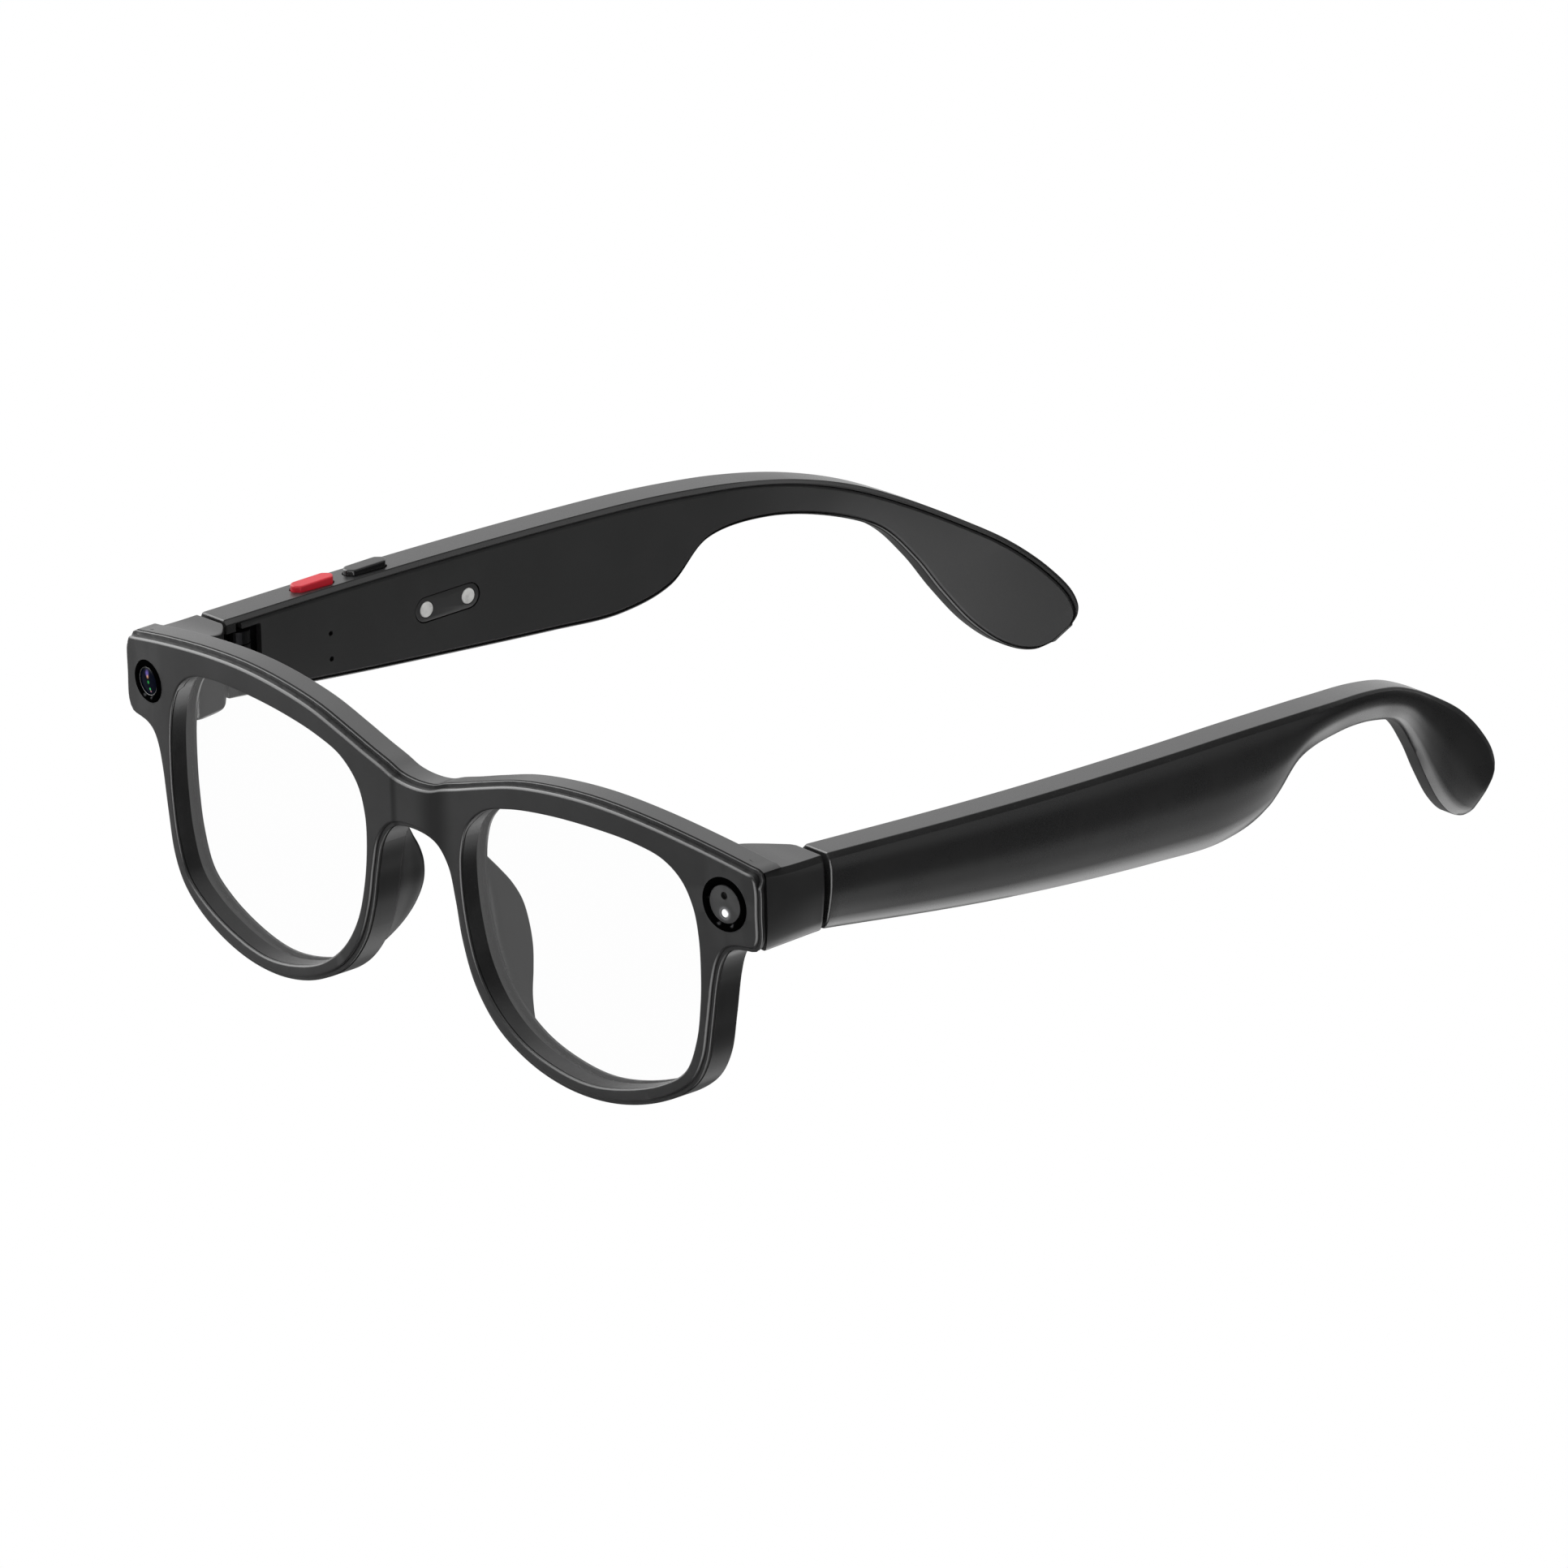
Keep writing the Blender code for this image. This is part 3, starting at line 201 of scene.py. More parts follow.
# Sections of a nose pad, as (height, distance from the middle, depth of its tip).
NOSE_STAGES = [
    (1.2, 8.3, 6.3), (-1.5, 9.4, 8.4), (-4.0, 10.1, 10.2), (-7.0, 10.8, 11.6),
    (-10.5, 11.6, 12.1), (-14.0, 12.9, 11.6), (-17.0, 14.3, 10.3), (-20.0, 16.2, 8.3), (-23.0, 18.9, 6.2),
]

CAMERA_RADIUS = 3.3
LIGHT_RADIUS = 4.3
CAMERA_STRETCH = 1.13
CAMERA_GLASS_RADIUS = 2.1
LIGHT_COVER_RADIUS = 3.1
BUTTON_CORNER = 0.9
BUTTON_ROUND = 0.28
BUTTON_HOLE_GAP = 0.15
BUTTON_LENGTH = 8.0
BUTTON_WIDTH = 2.6
BUTTON_FOOT = (0.7, 0.5)
NOTCH_FRONT = 18.0
NOTCH_SIDES = (65.0, 71.5)
NOTCH_BEHIND_PIN = 2.9
NOTCH_ROOM = 0.4
MICROPHONE_Y = 42.0
MICROPHONE_HEIGHTS = (2.4, 6.6)
MICROPHONE_RADIUS = 0.42
MODULE_CENTRE = node_centre("camera_bezel")
MODULE_X = round(abs(MODULE_CENTRE.x), 1)


# ---------------------------------------------------------------- curves
def tangent(before, here, after):
    d0 = max(math.dist(before, here) ** 0.5, 1e-6)
    d1 = max(math.dist(here, after) ** 0.5, 1e-6)
    return [(b - a) / d0 - (c - a) / (d0 + d1) + (c - b) / d1 for a, b, c in zip(before, here, after)]


def curve_point(points, i, closed, t):
    """A point at share t of a centripetal Catmull-Rom curve's stretch from points[i] to the next."""
    count = len(points)
    p0 = points[i % count]
    p1 = points[(i + 1) % count]
    before = points[i - 1] if closed or i > 0 else [2 * a - b for a, b in zip(p0, p1)]
    after = points[(i + 2) % count] if closed or i + 2 < count else [2 * b - a for a, b in zip(p0, p1)]
    knot = math.dist(p0, p1) ** 0.5
    m0 = [knot * v for v in tangent(before, p0, p1)]
    m1 = [knot * v for v in tangent(p0, p1, after)]
    t2, t3 = t * t, t * t * t
    weights = (2 * t3 - 3 * t2 + 1, t3 - 2 * t2 + t, 3 * t2 - 2 * t3, t3 - t2)
    return tuple(sum(w * v for w, v in zip(weights, row)) for row in zip(p0, m0, p1, m1))


def smooth_loop(points, spacing):
    made = []
    for i in range(len(points)):
        steps = max(1, round(math.dist(points[i], points[(i + 1) % len(points)]) / spacing))
        made += [curve_point(points, i, True, k / steps) for k in range(steps)]
    return made


def smooth_path(points, steps):
    made = [curve_point(points, i, False, k / steps) for i in range(len(points) - 1) for k in range(steps)]
    return made + [tuple(points[-1])]


def table_value(table, key):
    if key <= table[0][0]:
        return table[0][1]
    for i in range(len(table) - 1):
        if key <= table[i + 1][0]:
            return curve_point(table, i, False, (key - table[i][0]) / (table[i + 1][0] - table[i][0]))[1]
    return table[-1][1]


def clamped(value):
    return min(max(value, 0.0), 1.0)


def smooth_share(value, low, high):
    t = clamped((value - low) / (high - low))
    return t * t * (3 - 2 * t)


def drawn_in(value, middle, shrink):
    """A value moved towards the middle by shrink, and no further than the middle."""
    return value - math.copysign(min(shrink, abs(value - middle)), value - middle)


def offset_loop(loop, distance):
    """A counter-clockwise loop moved outwards by the distance."""
    made = []
    for i, (x, z) in enumerate(loop):
        x0, z0 = loop[i - 1]
        x1, z1 = loop[(i + 1) % len(loop)]
        length = math.hypot(x1 - x0, z1 - z0)
        made.append((x + distance * (z1 - z0) / length, z - distance * (x1 - x0) / length))
    return made


def mirrored(loop):
    return [(-x, z) for x, z in reversed(loop)]


def rounded(corners, radii, steps=5):
    """A closed outline whose corners are rounded off, each by its own radius."""
    made = []
    for i, corner in enumerate(corners):
        here = Vector(corner)
        to_last = Vector(corners[i - 1]) - here
        to_next = Vector(corners[(i + 1) % len(corners)]) - here
        reach = min(radii[i], to_last.length * 0.45, to_next.length * 0.45)
        start, end = here + to_last.normalized() * reach, here + to_next.normalized() * reach
        for k in range(steps + 1):
            t = k / steps
            made.append(tuple(start * (1 - t) ** 2 + here * 2 * t * (1 - t) + end * t * t))
    return made


def circle(radius, count, centre=(0.0, 0.0)):
    turns = [2 * math.pi * k / count for k in range(count)]
    return [(centre[0] + radius * math.cos(a), centre[1] + radius * math.sin(a)) for a in turns]


def wrap(x):
    beyond = max(abs(x) - FLAT_BRIDGE, 0.0)
    return WRAP_RADIUS - math.sqrt(WRAP_RADIUS**2 - beyond**2)


def wrap_angle(x):
    return math.copysign(math.asin(max(abs(x) - FLAT_BRIDGE, 0.0) / WRAP_RADIUS), x)


# ---------------------------------------------------------------- meshes
def finish_mesh(name, mesh, materials, sharp=40):
    """Turns a bmesh in millimetres into a shaded object."""
    bmesh.ops.remove_doubles(mesh, verts=mesh.verts, dist=2e-4)
    bmesh.ops.recalc_face_normals(mesh, faces=mesh.faces)
    bmesh.ops.translate(mesh, vec=(0, 0, -LENS_LINE_DROP), verts=mesh.verts)
    bmesh.ops.scale(mesh, vec=(MM, MM, MM), verts=mesh.verts)
    data = bpy.data.meshes.new(name)
    mesh.to_mesh(data)
    mesh.free()
    for surface in materials:
        data.materials.append(surface)
    made = bpy.data.objects.new(name, data)
    bpy.context.scene.collection.objects.link(made)
    data.shade_smooth()
    data.set_sharp_from_angle(angle=math.radians(sharp))
    return made


def flat_normals(piece):
    """Lets large faces keep their own direction, so that only the rounded edges bend the light."""
    modifier = piece.modifiers.new("normals", "WEIGHTED_NORMAL")
    modifier.weight = 80
    modifier.keep_sharp = True
    return piece


def bridge(mesh, first, second, index=0):
    """Joins two rings of equal counts and returns the faces."""
    faces = []
    for i in range(len(first)):
        j = (i + 1) % len(first)
        faces.append(mesh.faces.new((first[i], first[j], second[j], second[i])))
        faces[-1].material_index = index
    return faces


def loft(name, sections, materials, black=()):
    """A closed solid through rings of equal counts. The ring stretches in black get the second material."""
    mesh = bmesh.new()
    rings = [[mesh.verts.new(point) for point in section] for section in sections]
    for first, second in zip(rings, rings[1:]):
        for i, face in enumerate(bridge(mesh, first, second)):
            face.material_index = int(i in black)
    mesh.faces.new(rings[0])
    mesh.faces.new(rings[-1])
    return finish_mesh(name, mesh, materials)


def show_as(piece, node, body):
    """Puts a piece in a CAD node's place, on its body."""
    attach(piece, body)
    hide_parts(node)


def fill_between(mesh, rings):
    edges = []
    for ring in rings:
        for i in range(len(ring)):
            pair = (ring[i], ring[(i + 1) % len(ring)])
            edges.append(mesh.edges.get(pair) or mesh.edges.new(pair))
    bmesh.ops.triangle_fill(mesh, use_beauty=True, use_dissolve=False, edges=edges)


def brow_share(x, z):
    """1 along the brow and the top of the bridge, 0 along the lower rims and the ends."""
    return smooth_share(z, 12.8, 14.5) if abs(x) > 60 else smooth_share(z, 7.0, 10.0)


def wrapped_panel(name, outline, edge, openings, opening_edge, materials, indices, holes=(), tucked=99):
    """A panel of the wrapped front, with a profile along its outline and another along each opening.

    indices holds the material of each stretch of the two profiles. At both ends the outline's profile
    is drawn in from row tucked onwards, to make room for the end pieces.
    """
    mesh = bmesh.new()

    def rings_of(loop, profile, sign):
        made = []
        for row, (inset, low, high) in enumerate(profile):
            ring = []
            for (x, z), (x0, z0) in zip(offset_loop(loop, sign * inset), loop):
                if sign < 0 and row >= tucked:
                    share = smooth_share(abs(x0), *TUCK_ACROSS) * smooth_share(-z0, *TUCK_DOWN)
                    x -= math.copysign(END_TUCK * share, x)
                ring.append(mesh.verts.new((x, low + (high - low) * brow_share(x0, z0), z)))
            made.append(ring)
        return made

    outer = rings_of(outline, edge, -1)
    sides = [rings_of(loop, opening_edge, 1) for loop in openings]
    sides += [rings_of(loop, [(0.0, 0.0, 0.0), (0.0, *edge[-1][1:])], 1) for loop in holes]
    for rings, kinds in [(outer, indices[0])] + [(rings, indices[1]) for rings in sides]:
        for k, (first, second) in enumerate(zip(rings, rings[1:])):
            bridge(mesh, first, second, kinds[k])
    fill_between(mesh, [outer[0]] + [rings[0] for rings in sides])
    fill_between(mesh, [outer[-1]] + [rings[-1] for rings in sides])
    wrap_mesh(mesh)
    return finish_mesh(name, mesh, materials)


def wrap_mesh(mesh):
    reach = max(abs(vertex.co.x) for vertex in mesh.verts)
    places = [FLAT_BRIDGE + k * WRAP_STEP for k in range(int((reach - FLAT_BRIDGE) / WRAP_STEP) + 1)]
    for place in places + [-x for x in places]:
        geometry = mesh.verts[:] + mesh.edges[:] + mesh.faces[:]
        plane = {"plane_co": (place, 0, 0), "plane_no": (1, 0, 0)}
        bmesh.ops.bisect_plane(mesh, geom=geometry, dist=1e-4, **plane)
    for vertex in mesh.verts:
        vertex.co.y += wrap(vertex.co.x)


def flip(sections, side):
    return [[(side * x, y, z) for x, y, z in section] for section in sections]


def boolean(target, cutter, operation="DIFFERENCE"):
    """Applies a Boolean at once and removes the tool piece."""
    modifier = target.modifiers.new("boolean", "BOOLEAN")
    modifier.operation = operation
    modifier.object = cutter
    modifier.solver = "MANIFOLD"
    bpy.context.view_layer.update()
    graph = bpy.context.evaluated_depsgraph_get()
    result = bpy.data.meshes.new_from_object(target.evaluated_get(graph), depsgraph=graph)
    target.modifiers.remove(modifier)
    old = target.data
    target.data = result
    result.name = old.name
    bpy.data.meshes.remove(old)
    bpy.data.objects.remove(cutter, do_unlink=True)
    result.shade_smooth()
    result.set_sharp_from_angle(angle=math.radians(40))
    return target


def block(name, low, high, corner=0.0, surface=None):
    """A box whose corners, seen along x, are rounded. It serves as a cutter."""
    (x0, y0, z0), (x1, y1, z1) = low, high
    outline = rounded([(y0, z0), (y1, z0), (y1, z1), (y0, z1)], [corner] * 4)
    sections = [[(x, y, z) for y, z in outline] for x in (x0, x1)]
    return loft(name, sections, [surface] if surface else [])


def turned(name, profile, x, surfaces, count=72, centre=(0.0, 0.0), hollow=False):
    """A turned piece in the wrapped front at x. The profile is (radius, depth) rings.

    The first and last ring are closed, or joined to each other if the piece is hollow.
    """
    mesh = bmesh.new()
    rings = []
    for radius, depth in profile:
        rings.append([mesh.verts.new((a, depth, b)) for a, b in circle(radius, count, centre)])
    for first, second in zip(rings, rings[1:]):
        bridge(mesh, first, second)
    if hollow:
        bridge(mesh, rings[-1], rings[0])
    else:
        mesh.faces.new(rings[0])
        mesh.faces.new(rings[-1])
    place = Matrix.Translation((x, wrap(x), MODULE_CENTRE.z)) @ Matrix.Rotation(wrap_angle(x), 4, "Z")
    place = place @ Matrix.Diagonal((CAMERA_STRETCH if x < 0 else 1.0, 1.0, 1.0, 1.0))
    mesh.transform(place)
    return finish_mesh(name, mesh, surfaces, 30)


# ---------------------------------------------------------------- material nodes
BLACK = (0.0, 0.0, 0.0, 1.0)
WHITE = (1.0, 1.0, 1.0, 1.0)


class Nodes:
    """Short forms for building a node tree."""

    def __init__(self, tree):
        self.tree = tree

    def feed(self, socket, value):
        """Links another node's output to a socket, or sets its value."""
        if isinstance(value, bpy.types.NodeSocket):
            self.tree.links.new(value, socket)
        else:
            socket.default_value = value

    def fill(self, node, **inputs):
        for name, value in inputs.items():
            self.feed(node.inputs[name.replace("_", " ")], value)

    def add(self, kind, **inputs):
        node = self.tree.nodes.new(kind)
        self.fill(node, **inputs)
        return node

    def place(self, output="Object"):
        return self.add("ShaderNodeTexCoord").outputs[output]

    def axes(self, where):
        return self.add("ShaderNodeSeparateXYZ", Vector=where).outputs

    def noise(self, where, size, detail=2.0, roughness=0.5):
        """Noise whose largest grains have the size, in millimetres."""
        inputs = {"Vector": where, "Scale": 1 / (size * MM), "Detail": detail, "Roughness": roughness}
        return self.add("ShaderNodeTexNoise", **inputs).outputs["Fac"]

    def ramp(self, value, low, high, to_low=0.0, to_high=1.0):
        node = self.add("ShaderNodeMapRange", Value=value, From_Min=low, From_Max=high)
        self.fill(node, To_Min=to_low, To_Max=to_high)
        node.interpolation_type = "SMOOTHSTEP"
        return node.outputs["Result"]

    def blend(self, factor, first, second, mode="MIX"):
        """A mix of two colours."""
        node = self.add("ShaderNodeMix")
        node.data_type = "RGBA"
        node.blend_type = mode
        for socket, value in ((0, factor), (6, first), (7, second)):
            self.feed(node.inputs[socket], value)
        return node.outputs[2]

    def between(self, factor, first, second):
        """A mix of two numbers."""
        node = self.add("ShaderNodeMix")
        for socket, value in ((0, factor), (2, first), (3, second)):
            self.feed(node.inputs[socket], value)
        return node.outputs[0]

    def math(self, operation, first, second=0.0):
        node = self.add("ShaderNodeMath")
        node.operation = operation
        for socket, value in zip(node.inputs, (first, second)):
            self.feed(socket, value)
        return node.outputs[0]

    def vector_math(self, operation, first, second):
        node = self.add("ShaderNodeVectorMath")
        node.operation = operation
        self.feed(node.inputs[0], first)
        self.feed(node.inputs[1], second)
        return node.outputs["Value"]

    def bump(self, height, strength, depth):
        """A normal bent by a height, with its depth in millimetres."""
        node = self.add("ShaderNodeBump", Height=height, Strength=strength, Distance=depth * MM)
        return node.outputs["Normal"]


def grey(level):
    return (level, level, level * 1.02, 1.0)


def toned(colour, factor, lift=0.0):
    return tuple(min(c * factor + lift, 1.0) for c in colour[:3]) + (1.0,)


def new_material(name):
    """A new material, the short forms for its nodes, and its shader."""
    made = bpy.data.materials.new(name)
    made.use_nodes = True
    return made, Nodes(made.node_tree), made.node_tree.nodes["Principled BSDF"]


def plastic(
    name, colour, roughness, grain=0.25, grain_size=0.16, mottle=0.12, wear=0.35,
    specks=0.0, gleam=0.5, painted_shading=None,
):
    """Moulded plastic: grain in the surface, uneven gloss, and edges that handling has polished paler."""
    made, nodes, shader = new_material(name)
    where = nodes.place()
    fine = nodes.noise(where, grain_size, 3.0, 0.6)
    cloud = nodes.noise(where, 9, 3.0)
    base = nodes.blend(nodes.ramp(cloud, 0.3, 0.7), toned(colour, 1 - mottle), toned(colour, 1 + mottle))
    if specks:
        dots = nodes.ramp(nodes.noise(where, 0.3, 4.0, 0.7), 0.56, 0.72, 0.0, specks)
        base = nodes.blend(dots, base, grey(0.09))
    edge = nodes.ramp(nodes.add("ShaderNodeNewGeometry").outputs["Pointiness"], 0.52, 0.62, 0.0, wear)
    base = nodes.blend(edge, base, toned(colour, 2.2, 0.02))
    # Painted shade: the given function darkens the colour and dulls the gloss by position.
    if painted_shading:
        base, gleam = painted_shading(nodes, where, base, gleam)
    gloss = nodes.ramp(cloud, 0.25, 0.75, roughness * 0.97, roughness * 1.04)
    gloss = nodes.math("ADD", gloss, nodes.ramp(fine, 0.3, 0.7, -0.03, 0.03))
    nodes.fill(shader, Base_Color=base, Specular_IOR_Level=gleam, Roughness=gloss)
    nodes.fill(shader, Normal=nodes.bump(fine, grain, 0.02))
    return made


# Where painted shade darkens the bridge, as distances from the middle in metres at which each side of a band
# begins and ends: a soft band on one side and a narrow crease on the other.
BRIDGE_SOFT = ((0.0, 0.005), (0.0105, 0.006))
BRIDGE_CREASE = ((-0.0052, -0.0044), (-0.0030, -0.0042))


def painted_bridge_shade(nodes, where, base, gleam):
    """Painted shade where the bridge's front turns from the light: softly on one side, at a crease on the
    other.
    """
    across = nodes.axes(where)["X"]
    soft, crease = (
        nodes.math("MULTIPLY", nodes.ramp(across, *rise), nodes.ramp(across, *fall))
        for rise, fall in (BRIDGE_SOFT, BRIDGE_CREASE)
    )
    band = nodes.math("MAXIMUM", nodes.math("MULTIPLY", soft, 0.7), nodes.math("MULTIPLY", crease, 0.6))
    dull = nodes.math("MULTIPLY", nodes.math("SUBTRACT", 1.0, nodes.math("MULTIPLY", band, 0.75)), gleam)
    return nodes.blend(band, base, grey(0.003)), dull


def painted_side_shade(nodes, where, base, gleam):
    """Painted shade: below the end pieces and the bridge, the frame's sides lose their shine."""
    axis = nodes.axes(where)
    across = nodes.math("ABSOLUTE", axis["X"], 0.0)
    level = nodes.math("ADD", axis["Z"], nodes.ramp(across, 0.03, 0.06, 0.0, 0.0024))
    return base, nodes.ramp(level, -0.0062, -0.0034, gleam * 0.16, gleam)


def metal(name, colour, roughness, brushed=0.3):
    """Machined metal with fine marks along its length and a slightly uneven polish."""
    made, nodes, shader = new_material(name)
    where = nodes.place()
    stretch = nodes.add("ShaderNodeMapping", Vector=where, Scale=(12.0, 1.0, 12.0))
    marks = nodes.noise(stretch.outputs["Vector"], 1.2, 4.0, 0.6)
    shade = nodes.ramp(nodes.noise(where, 3, 3.0), 0.3, 0.7)
    polish = nodes.ramp(marks, 0.3, 0.7, roughness * 0.75, roughness * 1.3)
    base = nodes.blend(shade, toned(colour, 0.85), colour)
    nodes.fill(shader, Base_Color=base, Metallic=1.0, Roughness=polish)
    nodes.fill(shader, Normal=nodes.bump(marks, brushed, 0.01))
    return made


# The painted reflection of a card: its lower edge falls by this much per length towards +X, and starts
# anew for each lens.
CARD_SLANT = 0.42
CARD_REPEAT = 0.0735


def lens_glass(name):
    """A thin clear lens; a painted reflection of a pale card fills its upper part, with a soft slanting edge.
    """
    made, nodes, shader = new_material(name)
    where = nodes.place()
    axis = nodes.axes(where)
    smear = nodes.noise(where, 14, 2.0)
    across = nodes.math("WRAP", axis["X"], CARD_REPEAT)
    above = nodes.math("ADD", axis["Z"], nodes.math("MULTIPLY", across, CARD_SLANT))
    above = nodes.math("ADD", above, nodes.math("MULTIPLY", smear, 0.003))
    # Painted reflection: white glow, strong above the slanting edge and faint below, where less light passes.
    painted_reflection = nodes.ramp(above, -0.0015, 0.0015, 0.003, 0.035)
    tint = nodes.ramp(above, -0.003, 0.003, 0.955, 0.992)
    polish = nodes.ramp(smear, 0.3, 0.7, 0.02, 0.06)
    nodes.fill(shader, Base_Color=BLACK, Roughness=polish, Emission_Color=WHITE, Emission_Strength=1.0)
    clear = nodes.add("ShaderNodeBsdfTransparent", Color=tint)
    mix = nodes.add("ShaderNodeMixShader")
    for socket, value in zip(mix.inputs, (painted_reflection, clear.outputs[0], shader.outputs[0])):
        nodes.feed(socket, value)
    nodes.fill(made.node_tree.nodes["Material Output"], Surface=mix.outputs[0])
    return made


def glowing(name, base, roughness, spots, gleam=0.5):
    """Dark gloss with small coloured glowing spots, painted glints and lamp light: (centre, size, colour,
    strength).
    """
    made, nodes, shader = new_material(name)
    where = nodes.place()
    cloud = nodes.noise(where, 1.5, 3.0)
    colour = nodes.blend(nodes.ramp(cloud, 0.3, 0.7), toned(base, 0.8), base)
    polish = nodes.ramp(cloud, 0.3, 0.7, roughness * 0.85, roughness * 1.15)
    light = BLACK
    for centre, size, glow, strength in spots:
        nearness = nodes.ramp(nodes.vector_math("DISTANCE", where, centre), size, 0.0)
        glint = nodes.blend(nodes.math("MULTIPLY", nearness, strength), BLACK, (*glow, 1.0))
        light = nodes.blend(1.0, light, glint, "ADD")
    nodes.fill(shader, Base_Color=colour, Roughness=polish, Specular_IOR_Level=gleam)
    nodes.fill(shader, Emission_Color=light, Emission_Strength=1.0)
    return made


def module_place(side, across, up, depth=0.0):
    """A point on a corner module's face, in the frame, metres: across and up are from its centre."""
    x = side * abs(MODULE_CENTRE.x)
    local = Matrix.Rotation(wrap_angle(x), 3, "Z") @ Vector((across, depth, up))
    return tuple((Vector((x, wrap(x), MODULE_CENTRE.z - LENS_LINE_DROP)) + local) * MM)


# Painted reflections as ((across, up) in shares of a ring's radius, size).
PAINTED_RING_GLINTS = [((-0.78, 0.12), 0.55), ((-0.28, -0.83), 0.5), ((0.42, -0.80), 0.5)]
# Painted reflections in colours on the camera's coated glass, from top to bottom, as (across, up, size,
# colour, strength).
PAINTED_COATING_GLINTS = [
    (-0.25, 1.25, 0.75, (0.16, 0.12, 0.42), 0.9),
    (-0.05, 0.75, 0.45, (0.85, 0.42, 0.20), 0.8),
    (0.15, -0.10, 0.40, (0.05, 0.60, 0.10), 0.7),
    (0.55, -1.10, 0.30, (0.10, 0.90, 0.22), 0.9),
    (0.70, -1.45, 0.26, (0.60, 0.30, 0.38), 0.7),
]
PALE = (0.5, 0.5, 0.52)


def painted_ring_glints(side, radius):
    """Three faint painted reflections that sit on a bezel ring."""
    return [
        (module_place(side, across * radius, up * radius, -0.3), size * MM, PALE, 0.16)
        for (across, up), size in PAINTED_RING_GLINTS
    ]


def painted_coating_glints():
    return [(module_place(-1, a, b), size * MM, *look) for a, b, size, *look in PAINTED_COATING_GLINTS]


# Painted highlights: a pale glowing spot on each charging contact.
def painted_pad_shine():
    pads = [node_centre(f"charging_contact_{name}") for name in ("front", "rear")]
    return [(pad, 1.5 * MM, (1.0, 1.0, 0.98), 0.55) for pad in pads]


# Places of the light and of the dark sensor hole on the light's disc, from its centre.
LED = (0.0, -1.45)
SENSOR = (0.0, 1.4)
# A painted glow round the LED on the light's disc.
PAINTED_LED_HALO = [(module_place(1, *LED, 0.0), 1.35 * MM, PALE, 0.7)]
LED_GLOW = [(module_place(1, *LED, -0.1), 0.85 * MM, (1.0, 1.0, 1.0), 3.0)]

# Painted shade: the face plastic is darker and less glossy on the bridge.
SATIN = plastic("satin_plastic", grey(0.0145), 0.33, painted_shading=painted_bridge_shade)
SHELL = plastic("shell_plastic", grey(0.012), 0.30, grain=0.12, mottle=0.08, wear=0.12)
# Painted shade: the back shell loses its shine low on its sides.
BACK_SHELL = plastic("back_shell_plastic", grey(0.012), 0.33, 0.15, mottle=0.1, wear=0.08, painted_shading=painted_side_shade)
WALL = plastic("opening_wall_plastic", grey(0.008), 0.4, 0.6, 0.35, 0.5, wear=0.1, specks=0.15, gleam=0.3)
STRIP = plastic("black_strip_plastic", grey(0.003), 0.6, 0.6, 0.3, 0.3, wear=0.1, specks=0.3, gleam=0.4)
MATTE = plastic("matte_plastic", grey(0.0095), 0.55, grain=0.35, grain_size=0.2, mottle=0.08, wear=0.2)
GLOSS = plastic("gloss_plastic", grey(0.006), 0.14, grain=0.04, mottle=0.1, wear=0.3)
INSERT = plastic("insert_plastic", grey(0.015), 0.5, grain=0.3, mottle=0.1)
SEAM = plastic("seam_black", grey(0.004), 0.5, grain=0.1, mottle=0.2, wear=0.0, gleam=0.3)
RED = plastic("red_plastic", (0.47, 0.012, 0.024, 1.0), 0.35, grain=0.08, mottle=0.08, wear=0.1, gleam=0.3)
BOARD = plastic("solder_mask", (0.012, 0.11, 0.04, 1.0), 0.35, 0.2, grain_size=0.5, mottle=0.35, wear=0.3)
FOIL = plastic("battery_foil", (0.5, 0.51, 0.53, 1.0), 0.4, 0.3, grain_size=0.8, mottle=0.08, wear=0.2)
FLEX = plastic("flex_film", (0.42, 0.17, 0.03, 1.0), 0.3, grain=0.1, grain_size=0.5, mottle=0.2)
STEEL = metal("blackened_steel", (0.012, 0.012, 0.013, 1.0), 0.55)
# The plated contacts carry painted highlights.
SILVER = glowing("plated_contact", (0.82, 0.82, 0.80, 1.0), 0.3, painted_pad_shine())
LENS = lens_glass("clear_lens")
# The bezel rings have no shine of their own: their glints are painted reflections.
CAMERA_RING = glowing("camera_ring_gloss", grey(0.001), 0.4, painted_ring_glints(-1, CAMERA_RADIUS * 0.82), 0.0)
LIGHT_RING = glowing("light_ring_gloss", grey(0.001), 0.4, painted_ring_glints(1, LIGHT_RADIUS * 0.86), 0.0)
# The camera glass's coloured glints are painted reflections.
COATED = glowing("coated_glass", (0.002, 0.003, 0.008, 1.0), 0.1, painted_coating_glints(), 0.02)
# The light's disc carries the painted glow round the LED.
DISC = glowing("light_disc_plastic", grey(0.036), 0.42, PAINTED_LED_HALO)
LED_LIGHT = glowing("light_pipe", (0.12, 0.12, 0.13, 1.0), 0.3, LED_GLOW)
SENSOR_BLACK = plastic("sensor_black", grey(0.002), 0.5, grain=0.1)


# ---------------------------------------------------------------- front
def front_outline():
    clockwise = FRONT_OUTLINE + [(-x, z) for x, z in reversed(FRONT_OUTLINE[1:-1])]
    return smooth_loop(clockwise[::-1], CURVE_STEP)


def lens_openings():
    opening = smooth_loop(LENS_OPENING, CURVE_STEP)
    return [opening, mirrored(opening)]


